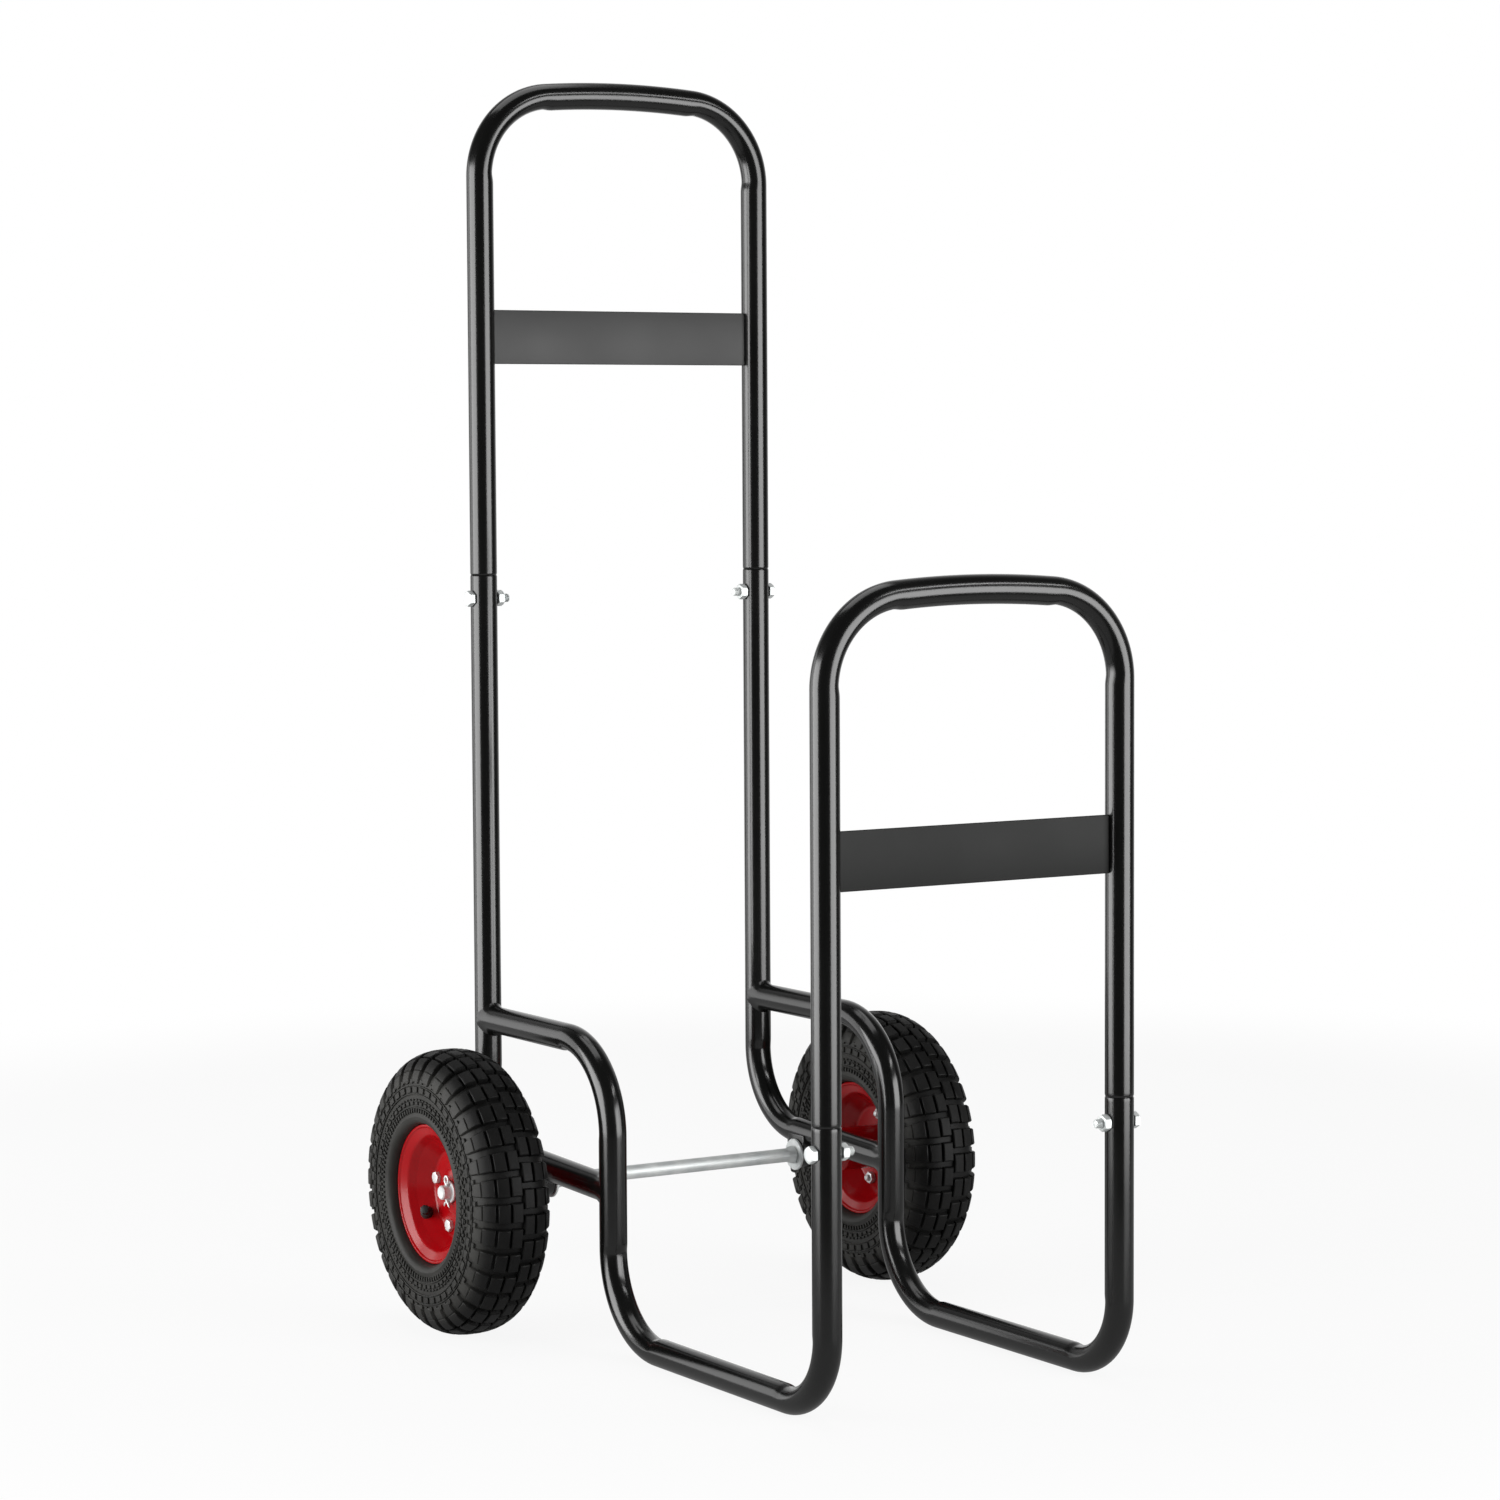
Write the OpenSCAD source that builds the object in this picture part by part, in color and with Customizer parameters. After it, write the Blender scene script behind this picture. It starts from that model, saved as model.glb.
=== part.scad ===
// Fireside log cart.
// A hand cart for firewood. Two side frames of bent steel tube form a cradle that
// stands on the ground, a tall handle hoop and a short front hoop are bolted into
// them, and two pneumatic wheels run on a straight axle under the frame.
// X runs from left to right, Y from the front (minus) to the handle (plus), Z up.
// The origin is on the ground, at the middle of the cart's width and length.
// All sizes are in millimetres.

/* [Frame tube] */
// Outside diameter of every frame tube
tube_d = 25; // [20:0.5:30]
// Wall thickness of the frame tube
tube_wall = 1.5; // [1:0.1:2]
// Distance between the axes of the left and right uprights
leg_spacing = 297; // [250:1:400]
// Distance from the axes of the rear uprights to those of the front uprights
frame_depth = 590; // [520:5:700]

/* [Hoops] */
// Height of the top of the handle hoop above the ground
handle_top = 1147; // [1000:1:1300]
// Height of the seam where the handle hoop enters the rear tubes
handle_seam = 688; // [550:1:760]
// Height of the top of the front hoop above the ground
front_top = 699; // [600:1:900]
// Height of the seam where the front hoop enters the cradle tubes
front_seam = 250; // [180:1:320]
// Bend radius of the hoops' corners, at the tube's axis
hoop_bend = 76; // [60:1:110]
// Length of the reduced end of a hoop leg inside the lower tube
spigot_len = 45; // [35:1:70]
// Length of the thick step between a hoop leg and its reduced end
shoulder = 3; // [2:0.5:6]

/* [Crossplates] */
// Height of the flat strip across each hoop
plate_h = 50; // [30:1:80]
// Thickness of the flat strip across each hoop
plate_t = 3; // [2:0.5:5]
// Distance from the top of the handle hoop down to the middle of its strip
handle_plate_drop = 238.5; // [150:0.5:320]
// Distance from the top of the front hoop down to the middle of its strip
front_plate_drop = 232; // [150:0.5:320]

/* [Side frames] */
// Distance from the rear uprights to the cradle's own post
post_setback = 235; // [200:1:280]
// Height of the axis of the cradle tube where it leaves the rear upright
cradle_top = 272.5; // [255:0.5:330]
// Bend radius of the cradle tube at the top and foot of its post
cradle_bend = 80; // [50:1:85]
// Bend radius of the cradle tube at the foot of the front upright
toe_bend = 62; // [45:1:90]
// Bend radius of the rear tube where it turns forward to the cradle
arm_bend = 75; // [50:1:85]

/* [Axle] */
// Diameter of the axle rod
axle_d = 13; // [10:0.5:16]
// Distance of the axle in front of the rear uprights
axle_ahead = 90.5; // [88:0.5:110]
// Gap between the axle and the underside of the arms
axle_gap = 0.4; // [0.2:0.1:2]
// Diameter of the round lower edge of the axle lugs
lug_d = 27; // [24:0.5:36]
// Wall of the axle lug on each side of the arm
lug_cheek = 1.5; // [1:0.1:4]
// Outside diameter of the washers on the inner side of the lugs
inner_washer_d = 30; // [22:0.5:36]
// Outside diameter of the washers outside the hubs
outer_washer_d = 20; // [18:0.5:32]
// Thickness of the axle washers
washer_t = 2.5; // [1.5:0.1:4]
// Diameter of the pinched collar that stops the axle from sliding
collar_d = 17; // [16.5:0.5:20]
// Length of that collar
collar_len = 8; // [4:0.5:14]
// Outside diameter of the spacer between lug and hub
spacer_d = 19; // [18:0.5:22]
// Wire diameter of the split pins
pin_d = 3.2; // [2:0.1:4]
// Straight length of a split pin below the axle
pin_foot = 3; // [2:0.5:6]
// Angle that each leg of a split pin is bent out by, in degrees
pin_spread = 55; // [20:1:80]
// Length of axle past the middle of a split pin
axle_tail = 6.5; // [4:0.5:12]

/* [Wheels] */
// Outside diameter of the tyre
tyre_d = 260; // [240:1:300]
// Width of the tyre
tyre_w = 76; // [70:1:100]
// Squareness of the tyre's section on the tread's side: 2 is an ellipse
tread_power = 2.6; // [2:0.1:4]
// Squareness of the tyre's section on the rim's side
bead_power = 3.6; // [2:0.1:5]
// Thickness of the tyre's sidewall
tyre_side = 7; // [5:0.5:9]
// Thickness of the tyre under the tread
tyre_crown = 9; // [7:0.5:13]
// Depth of the grooves and notches in the tread
groove_depth = 4; // [2:0.5:5]
// Width of the grooves round the tread
groove_w = 2; // [1:0.5:4]
// Distance of the inner two grooves from the middle of the tread
inner_groove = 12; // [8:0.5:16]
// Distance of the outer two grooves from the middle of the tread
outer_groove = 24.5; // [20:0.5:28]
// Number of notches across each half of the tread
notches = 34; // [20:1:48]
// Width of the notches across the tread
notch_w = 6.5; // [3:0.5:9]
// How far a notch runs over the shoulder, as an angle of the tyre's section
notch_reach = 68; // [50:1:75]
// Wall thickness of the inner tube
inner_tube_wall = 2; // [1:0.1:3]
// Gap between the tyre's side and the frame tube
wheel_clear = 31; // [26:0.5:44]
// Diameter of the rim where the tyre's beads sit
bead_d = 102; // [98:0.5:106]
// Outside diameter of the rim's flanges
flange_d = 127; // [122:0.5:134]
// Width of the rim over its flanges
rim_w = 61; // [50:0.5:64]
// Thickness of the rim's steel sheet
rim_t = 2.5; // [1.5:0.1:3]
// Width of each flange, from the bead seat to the rim's edge
flange_w = 6; // [5.5:0.1:8]
// Outside radius of the rolled lip of a flange
lip_r = 4; // [3:0.1:5]
// Width of each bead seat
bead_w = 9; // [8:0.5:11]
// Diameter of the flat middle of each rim half
disc_d = 80; // [78:0.5:84]

/* [Hubs and bearings] */
// Outside diameter of the hub tube
hub_d = 41; // [40:0.5:46]
// Length of the hub tube
hub_len = 54; // [44:0.5:60]
// How far the hub stands out past the middle of the wheel, on the outer side
hub_proud = 6; // [5:0.5:16]
// Outside diameter of the ball bearings
bearing_d = 35; // [34.5:0.1:37]
// Width of the ball bearings
bearing_w = 11; // [9:0.5:14]
// Diameter of the bearing balls
ball_d = 6; // [5:0.1:6.2]
// Number of balls in a bearing
balls = 8; // [6:1:9]
// How far the ball circle is set in from the middle between bore and outside
ball_inset = 0.25; // [0:0.05:0.5]
// Gap from the inner race out to the outer race
race_gap = 3.6; // [3:0.1:4]
// Thickness of the ball cages
cage_t = 1.4; // [0.8:0.1:2]
// Width of a ball cage past the balls, on each side
cage_edge = 0.6; // [0.3:0.1:1]

/* [Fasteners] */
// Thread diameter of the frame bolts
bolt_d = 8; // [6:0.5:10]
// Width across flats of the frame bolts' heads and nuts
bolt_af = 13; // [11:0.5:16]
// Height of the frame bolts' heads
bolt_head = 5.3; // [3:0.1:8]
// Height of the frame nuts
nut_h = 6.5; // [4:0.1:9]
// Length of thread that stands out past a frame nut
bolt_tail = 6.5; // [2:0.5:12]
// Distance of the frame bolts below the seams
bolt_drop = 22; // [15:0.5:30]
// Thread diameter of the rim bolts
rim_bolt_d = 6; // [4:0.5:7]
// Width across flats of the rim bolts' heads and nuts
rim_bolt_af = 10; // [9:0.5:11]
// Height of the rim bolts' heads
rim_bolt_head = 4; // [2.5:0.1:6]
// Height of the rim nuts
rim_nut_h = 5; // [3:0.1:7]
// Length of thread that stands out past a rim nut
rim_bolt_tail = 3; // [1:0.5:6]
// Diameter of the circle that the rim bolts are on
rim_bolt_circle = 67; // [63:0.5:68]
// Number of rim bolts
rim_bolts = 4; // [3:1:6]
// Turn of the rim bolts about the axle, in degrees
rim_bolt_turn = 14; // [-45:1:45]

/* [Valves] */
// Diameter of the rubber valve stem
stem_d = 12; // [8:0.5:12.5]
// Length of the valve stem out of the rim
stem_len = 8.5; // [6:0.5:18]
// Diameter of the valve cap
cap_d = 9; // [6:0.5:11]
// Length of the valve stem behind the slope that it stands on
stem_root = 1; // [0.5:0.1:2]
// Length of the valve cap
cap_len = 6; // [4:0.5:9]
// Place of the valve round the rim, from the rear, in degrees
valve_turn = -33; // [-60:1:60]
// Place of the valve up the slope of the well, as a share of the slope
valve_up = 0.65; // [0.5:0.05:0.65]

/* [Fits] */
// Radial clearance of a hoop leg in the lower tube
slip = 0.1; // [0.05:0.05:0.3]
// Gap at a welded joint
weld_gap = 0.05; // [0.02:0.01:0.2]
// Radial clearance of a round hole on its bolt, pin or axle
hole_fit = 0.05; // [0.02:0.01:0.1]
// Gap along the axle between neighbouring pieces
end_play = 0.2; // [0.1:0.05:0.5]
// Gap between the balls and their races
ball_fit = 0.05; // [0.02:0.01:0.1]
// Gap between the tyre and what it sits on or holds
rubber_fit = 0.3; // [0.1:0.05:0.5]

/* [Hidden] */
$fn = 64;

// Colours, as the cart is finished
paint_black = [0.06, 0.06, 0.06];
paint_red = [0.66, 0.02, 0.04];
zinc = [0.78, 0.80, 0.79];
rubber = [0.12, 0.12, 0.12];
bright_steel = [0.70, 0.70, 0.72];

// Cutters run this far past the faces that they cut
over = 1;

// Frame tube
tube_r = tube_d / 2;
bore_r = tube_r - tube_wall;
leg_x = leg_spacing / 2;

// Places along the cart. The origin is midway between the rear of the tyres
// and the front of the front uprights.
tyre_r = tyre_d / 2;
front_reach = frame_depth + tube_r;
rear_reach = max(tyre_r - axle_ahead, tube_r);
rear_y = (front_reach - rear_reach) / 2;
front_y = rear_y - frame_depth;
post_y = rear_y - post_setback;
axle_y = rear_y - axle_ahead;

// Heights
axle_r = axle_d / 2;
axle_z = tyre_r;
arm_z = axle_z + axle_r + axle_gap + tube_r;
handle_plate_z = handle_top - handle_plate_drop;
front_plate_z = front_top - front_plate_drop;

// Spigot at the foot of a hoop leg
spigot_r = bore_r - slip;
spigot_bore_r = spigot_r - tube_wall;

// Places across the cart, for the right-hand side
lug_len = tube_d + 2 * lug_cheek;
lug_in_x = leg_x - lug_len / 2;
lug_out_x = leg_x + lug_len / 2;
wheel_x = leg_x + tube_r + wheel_clear + tyre_w / 2;
hub_in_x = wheel_x - (hub_len - hub_proud);
hub_out_x = wheel_x + hub_proud;
pin_x = hub_out_x + washer_t + 2 * end_play + pin_d / 2 + end_play;
axle_end_x = pin_x + axle_tail;

// Bearing
hub_r = hub_d / 2;
bearing_r = bearing_d / 2;
ball_r = ball_d / 2;
inner_race_bore_r = axle_r + hole_fit;
ball_circle_r = (inner_race_bore_r + bearing_r) / 2 - ball_inset;
inner_race_r = ball_circle_r - race_gap / 2;
outer_race_bore_r = ball_circle_r + race_gap / 2;

// Rim and tyre
bead_r = bead_d / 2;
flange_r = flange_d / 2;
disc_r = disc_d / 2;
flange_in = rim_w / 2 - flange_w;
section_mid_r = (tyre_r + bead_r) / 2;
section_half_h = (tyre_r - bead_r) / 2;
cavity_half_w = tyre_w / 2 - tyre_side;
cavity_top_r = tyre_r - tyre_crown;
cavity_low_r = flange_r + lip_r;
cavity_mid_r = (cavity_top_r + cavity_low_r) / 2;
cavity_half_h = (cavity_top_r - cavity_low_r) / 2;

// ---------------------------------------------------------------- placing

// Puts a piece of the right-hand side on either side: side is 1 or -1
module on_side(side) {
    if (side > 0) children();
    else mirror([1, 0, 0]) children();
}

// Puts a wheel piece, modelled round the X axis with its outer side at +X
module at_wheel(side) {
    on_side(side) translate([wheel_x, axle_y, axle_z]) children();
}

// Turns a profile of radius and distance outward round the X axis
module turned() {
    rotate([0, 90, 0]) rotate_extrude() children();
}

// Solid rod round the X axis, from x0 to x1
module rod_x(r, x0, x1) {
    translate([x0, 0, 0]) rotate([0, 90, 0]) cylinder(h = x1 - x0, r = r);
}

// Ring round the X axis, from x0 to x1
module ring_x(r_out, r_in, x0, x1) {
    difference() {
        rod_x(r_out, x0, x1);
        rod_x(r_in, x0 - over, x1 + over);
    }
}

// Hexagon across flats af, along the X axis from x0 to x1
module hex_x(af, x0, x1) {
    translate([x0, 0, 0]) rotate([0, 90, 0])
        cylinder(h = x1 - x0, r = af / sqrt(3), $fn = 6);
}

// ---------------------------------------------------------------- bent tube

// Cross section of the frame tube
module tube_section() {
    difference() {
        circle(r = tube_r);
        circle(r = bore_r);
    }
}

// One square bend to the left in the XY plane, from the origin, heading along +X
module left_bend(bend_r) {
    translate([0, bend_r, 0]) rotate([0, 0, -90])
        rotate_extrude(angle = 90) translate([bend_r, 0]) tube_section();
}

// A tube bent in the XY plane, from the origin, heading along +X. Each step of
// the bender is [feed, bend radius, hand]: hand is 1 for a square bend to the
// left, -1 for one to the right and 0 for none.
module bent_tube(steps, i = 0) {
    if (i < len(steps)) {
        feed = steps[i][0];
        bend_r = steps[i][1];
        hand = steps[i][2];
        rotate([0, 90, 0]) linear_extrude(feed) tube_section();
        translate([feed, 0, 0]) {
            if (hand > 0) left_bend(bend_r);
            if (hand < 0) mirror([0, 1, 0]) left_bend(bend_r);
            translate([bend_r, hand * bend_r, 0]) rotate([0, 0, 90 * hand])
                bent_tube(steps, i + 1);
        }
    }
}

// Puts what is drawn in the XY plane into the side frame's YZ plane:
// drawn X becomes forward from the rear uprights, drawn Y becomes up
module in_side_plane() {
    translate([leg_x, rear_y, 0]) rotate([0, 0, -90]) rotate([90, 0, 0]) children();
}

// ---------------------------------------------------------------- hoops

// Hole across a leg, for a frame bolt
module bolt_hole(z) {
    translate([0, 0, z]) rod_x(bolt_d / 2 + hole_fit, -tube_d, tube_d);
}

// A hoop in the XZ plane: two legs, two corner bends and the bar between them.
// The foot of each leg is reduced to a spigot for the tube below it.
module hoop(top, seam) {
    leg = top - tube_r - hoop_bend - seam - shoulder;
    bar = leg_spacing - 2 * hoop_bend;
    steps = [[leg, hoop_bend, -1], [bar, hoop_bend, -1], [leg, 0, 0]];
    translate([-leg_x, 0, seam + shoulder]) rotate([90, 0, 0]) rotate([0, 0, 90])
        bent_tube(steps);
    for (side = [-1, 1])
        translate([side * leg_x, 0, seam])
            difference() {
                union() {
                    cylinder(h = shoulder, r = tube_r);
                    translate([0, 0, -spigot_len])
                        cylinder(h = spigot_len + shoulder / 2, r = spigot_r);
                }
                translate([0, 0, -spigot_len - over])
                    cylinder(h = spigot_len + shoulder + 2 * over, r = spigot_bore_r);
                bolt_hole(-bolt_drop);
            }
}

module handle_hoop() {
    color(paint_black) translate([0, rear_y, 0]) hoop(handle_top, handle_seam);
}

module front_hoop() {
    color(paint_black) translate([0, front_y, 0]) hoop(front_top, front_seam);
}

// Flat strip welded between the two legs of a hoop, with its middle at height z
module crossplate(z) {
    half_w = leg_x - tube_r - weld_gap;
    translate([-half_w, -plate_t / 2, z - plate_h / 2])
        cube([2 * half_w, plate_t, plate_h]);
}

module handle_crossplate() {
    color(paint_black) translate([0, rear_y, 0]) crossplate(handle_plate_z);
}

module front_crossplate() {
    color(paint_black) translate([0, front_y, 0]) crossplate(front_plate_z);
}

// ---------------------------------------------------------------- side frames

// Rear tube: from the seam straight down, then forward as the arm over the axle,
// with its end cut to the round of the cradle's post
module rear_tube(side) {
    down = handle_seam - arm_z - arm_bend;
    along = post_setback - arm_bend;
    color(paint_black) on_side(side)
        difference() {
            in_side_plane() translate([0, handle_seam, 0]) rotate([0, 0, -90])
                bent_tube([[down, arm_bend, 1], [along, 0, 0]]);
            translate([leg_x, post_y, 0]) cylinder(h = cradle_top, r = tube_r + weld_gap);
            translate([leg_x, rear_y, 0]) bolt_hole(handle_seam - bolt_drop);
        }
}

// Cradle tube: forward from the rear upright, down as the post, along the ground
// and up as the front upright. Its rear end is cut to the round of the rear tube.
module cradle_tube(side) {
    ground_run = frame_depth - post_setback - cradle_bend - toe_bend;
    steps = [
        [post_setback - cradle_bend, cradle_bend, -1],
        [cradle_top - tube_r - 2 * cradle_bend, cradle_bend, 1],
        [ground_run, toe_bend, 1],
        [front_seam - tube_r - toe_bend, 0, 0]
    ];
    color(paint_black) on_side(side)
        difference() {
            in_side_plane() translate([0, cradle_top, 0]) bent_tube(steps);
            translate([leg_x, rear_y, arm_z])
                cylinder(h = handle_seam - arm_z, r = tube_r + weld_gap);
            translate([leg_x, front_y, 0]) bolt_hole(front_seam - bolt_drop);
        }
}

module left_rear_tube() { rear_tube(-1); }
module right_rear_tube() { rear_tube(1); }
module left_cradle_tube() { cradle_tube(-1); }
module right_cradle_tube() { cradle_tube(1); }

// ---------------------------------------------------------------- axle

// Lug welded under an arm: a block with a round lower edge, saddled to the arm
// and bored for the axle
module axle_lug(side) {
    color(paint_black) on_side(side)
        difference() {
            translate([0, axle_y, 0]) {
                translate([0, 0, axle_z]) rod_x(lug_d / 2, lug_in_x, lug_out_x);
                translate([lug_in_x, -lug_d / 2, axle_z])
                    cube([lug_len, lug_d, arm_z - axle_z]);
            }
            translate([0, axle_y, axle_z])
                rod_x(axle_r + hole_fit, lug_in_x - over, lug_out_x + over);
            translate([leg_x, axle_y, arm_z]) rotate([90, 0, 0])
                cylinder(h = 2 * lug_d, r = tube_r + weld_gap, center = true);
        }
}

module left_axle_lug() { axle_lug(-1); }
module right_axle_lug() { axle_lug(1); }

// Plain rod through both lugs and both hubs, with a pinched collar against each
// inner washer and a cross hole for each split pin
module axle() {
    collar_x1 = lug_in_x - washer_t - 2 * end_play;
    collar_x0 = collar_x1 - collar_len;
    taper = collar_len / 3;
    color(zinc) translate([0, axle_y, axle_z])
        difference() {
            union() {
                rod_x(axle_r, -axle_end_x, axle_end_x);
                for (side = [-1, 1]) on_side(side) {
                    rod_x(collar_d / 2, collar_x0 + taper, collar_x1);
                    translate([collar_x0, 0, 0]) rotate([0, 90, 0])
                        cylinder(h = taper, r1 = axle_r, r2 = collar_d / 2);
                }
            }
            for (side = [-1, 1])
                translate([side * pin_x, 0, -axle_d])
                    cylinder(h = 2 * axle_d, r = pin_d / 2 + hole_fit);
        }
}

// A ring on the axle, on both sides, from x0 to x1 of the right-hand side
module axle_rings(r_out, x0, x1) {
    for (side = [-1, 1])
        on_side(side) translate([0, axle_y, axle_z])
            ring_x(r_out, axle_r + hole_fit, x0, x1);
}

module inner_washers() {
    color(zinc)
        axle_rings(inner_washer_d / 2, lug_in_x - end_play - washer_t, lug_in_x - end_play);
}

module hub_spacers() {
    color(zinc) axle_rings(spacer_d / 2, lug_out_x + end_play, hub_in_x - end_play);
}

module outer_washers() {
    color(zinc)
        axle_rings(outer_washer_d / 2, hub_out_x + end_play, hub_out_x + end_play + washer_t);
}

// Split pin down through the axle: an eye on top and two legs bent apart below
module split_pin() {
    eye_r = pin_d;
    top = axle_r + pin_d / 2 + end_play;
    foot = axle_r + pin_foot;
    leg = 2 * pin_d;
    translate([0, 0, -foot]) cylinder(h = foot + top, r = pin_d / 2);
    translate([0, 0, top + eye_r]) rotate([0, 90, 0])
        rotate_extrude() translate([eye_r, 0]) circle(r = pin_d / 2);
    translate([0, 0, -foot]) {
        sphere(r = pin_d / 2);
        for (lean = [-pin_spread, pin_spread])
            rotate([lean, 0, 0]) translate([0, 0, -leg]) cylinder(h = leg, r = pin_d / 2);
    }
}

module split_pins() {
    color(zinc) for (side = [-1, 1])
        on_side(side) translate([pin_x, axle_y, axle_z]) split_pin();
}

// ---------------------------------------------------------------- frame bolts

// Bolts across the two legs at y, at height z, with their heads outside
module leg_bolts(y, z) {
    for (side = [-1, 1])
        on_side(side) translate([leg_x, y, z]) {
            seat = tube_r + weld_gap;
            hex_x(bolt_af, seat, seat + bolt_head);
            rod_x(bolt_d / 2, -seat - nut_h - bolt_tail, seat + bolt_head / 2);
        }
}

module leg_nuts(y, z) {
    for (side = [-1, 1])
        on_side(side) translate([leg_x, y, z])
            difference() {
                hex_x(bolt_af, -tube_r - weld_gap - nut_h, -tube_r - weld_gap);
                rod_x(bolt_d / 2 + hole_fit, -tube_d - nut_h, 0);
            }
}

module handle_bolts() { color(zinc) leg_bolts(rear_y, handle_seam - bolt_drop); }
module handle_nuts() { color(zinc) leg_nuts(rear_y, handle_seam - bolt_drop); }
module front_bolts() { color(zinc) leg_bolts(front_y, front_seam - bolt_drop); }
module front_nuts() { color(zinc) leg_nuts(front_y, front_seam - bolt_drop); }

// ---------------------------------------------------------------- tyres

// Rounded oblong in [radius, distance outward], centred at radius mid: its
// points at the given angles, from 0 at the tread to 90 at the outer side
function section_points(half_w, half_h, mid, angles) = [
    for (a = angles)
        let (c = cos(a), s = sin(a), p = 2 / (c > 0 ? tread_power : bead_power))
            [mid + half_h * sign(c) * pow(abs(c), p), half_w * sign(s) * pow(abs(s), p)]
];

function rounded_section(half_w, half_h, mid) =
    section_points(half_w, half_h, mid, [0 : 10 : 350]);

// Radius of the tyre's surface at a distance from the middle of the tread
function tread_r(out) =
    section_mid_r + section_half_h * pow(1 - pow(2 * out / tyre_w, tread_power), 1 / tread_power);

// Space that the rim's flange takes out of the tyre, on one side
module flange_space() {
    reach = flange_in - rubber_fit;
    translate([0, reach]) square([flange_r + rubber_fit, tyre_w]);
    square([bead_r + rubber_fit, reach + over]);
}

// Outline of a notch across the outer half of the tread and over its shoulder
module notch_outline() {
    past = tyre_w / 2 + over;
    floor = section_points(tyre_w / 2 - groove_depth, section_half_h - groove_depth,
                           section_mid_r, [0 : notch_reach / 3 : notch_reach]);
    polygon(concat(floor, [[floor[3][0], past], [tyre_r + over, past], [tyre_r + over, 0]]));
}

// Notches across both halves of the tread, those of one half midway between
// those of the other
module notch_set() {
    for (i = [0 : notches - 1], half = [0, 1])
        rotate([(i + half / 2) * 360 / notches, 0, 0]) mirror([half, 0, 0])
            rotate([0, 90, 0]) rotate([90, 0, 0])
                linear_extrude(notch_w, center = true) notch_outline();
}

module tyre(side) {
    color(rubber) at_wheel(side)
        difference() {
            turned() difference() {
                polygon(rounded_section(tyre_w / 2, section_half_h, section_mid_r));
                polygon(rounded_section(cavity_half_w, cavity_half_h, cavity_mid_r));
                for (m = [0, 1]) mirror([0, m]) {
                    flange_space();
                    square([cavity_mid_r, flange_in - bead_w]);
                    for (at = [inner_groove, outer_groove])
                        translate([tread_r(at) - groove_depth, at - groove_w / 2])
                            square([tyre_r, groove_w]);
                }
            }
            notch_set();
        }
}

module inner_tube(side) {
    fit = rubber_fit;
    wall = inner_tube_wall + fit;
    color(rubber) at_wheel(side) turned()
        difference() {
            polygon(rounded_section(cavity_half_w - fit, cavity_half_h - fit, cavity_mid_r));
            polygon(rounded_section(cavity_half_w - wall, cavity_half_h - wall, cavity_mid_r));
        }
}

module left_tyre() { tyre(-1); }
module right_tyre() { tyre(1); }
module left_inner_tube() { inner_tube(-1); }
module right_inner_tube() { inner_tube(1); }

// ---------------------------------------------------------------- rims

// Quarter arcs of the rolled lip, in [radius, distance outward]
function lip_arc(r, from, to) = [
    for (i = [0 : 8])
        let (a = from + (to - from) * i / 8)
            [flange_r - lip_r + r * cos(a), flange_in + lip_r + r * sin(a)]
];

// Section of one pressed rim half: flat middle, sloped well, bead seat and flange
function rim_section() = concat(
    [[hub_r + weld_gap, 0], [disc_r, 0], [bead_r, flange_in - bead_w],
     [bead_r, flange_in]],
    lip_arc(lip_r, -90, 0),
    [[flange_r, rim_w / 2], [flange_r - rim_t, rim_w / 2]],
    lip_arc(lip_r - rim_t, 0, -90),
    [[bead_r, flange_in + rim_t], [bead_r - rim_t, flange_in],
     [bead_r - rim_t, flange_in - bead_w], [disc_r - rim_t / 2, rim_t],
     [hub_r + weld_gap, rim_t]]
);

module rim_bolt_places() {
    for (i = [0 : rim_bolts - 1])
        rotate([rim_bolt_turn + i * 360 / rim_bolts, 0, 0])
            translate([0, rim_bolt_circle / 2, 0]) children();
}

// One pressed rim half, drilled for the rim bolts, with its dish towards +X
module rim_half() {
    difference() {
        turned() polygon(rim_section());
        rim_bolt_places() rod_x(rim_bolt_d / 2 + hole_fit, -over, rim_t + over);
    }
}

// Puts a piece drawn along +Z at the valve's place on the slope of the outer
// half's well, square to that slope and pointing into the dish
module at_valve() {
    slope_r = bead_r - disc_r;
    slope_x = flange_in - bead_w;
    rotate([valve_turn, 0, 0])
        translate([valve_up * slope_x, disc_r + valve_up * slope_r, 0])
            rotate([0, 0, atan2(slope_r, slope_x)]) rotate([90, 0, 0]) children();
}

module rim_outer(side) {
    color(paint_red) at_wheel(side)
        difference() {
            rim_half();
            at_valve() cylinder(h = 4 * rim_t, r = stem_d / 2 + hole_fit, center = true);
        }
}

module rim_inner(side) {
    color(paint_red) at_wheel(side) mirror([1, 0, 0]) rim_half();
}

module left_rim_outer() { rim_outer(-1); }
module right_rim_outer() { rim_outer(1); }
module left_rim_inner() { rim_inner(-1); }
module right_rim_inner() { rim_inner(1); }

// Bolts through both rim halves, with their heads on the outer side
module rim_bolt_set(side) {
    color(zinc) at_wheel(side) rim_bolt_places() {
        hex_x(rim_bolt_af, rim_t, rim_t + rim_bolt_head);
        rod_x(rim_bolt_d / 2, -rim_t - rim_nut_h - rim_bolt_tail, rim_t + rim_bolt_head / 2);
    }
}

module rim_nut_set(side) {
    color(zinc) at_wheel(side) rim_bolt_places()
        difference() {
            hex_x(rim_bolt_af, -rim_t - rim_nut_h, -rim_t);
            rod_x(rim_bolt_d / 2 + hole_fit, -rim_t - rim_nut_h - over, 0);
        }
}

module left_rim_bolts() { rim_bolt_set(-1); }
module right_rim_bolts() { rim_bolt_set(1); }
module left_rim_nuts() { rim_nut_set(-1); }
module right_rim_nuts() { rim_nut_set(1); }

// ---------------------------------------------------------------- valves

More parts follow.
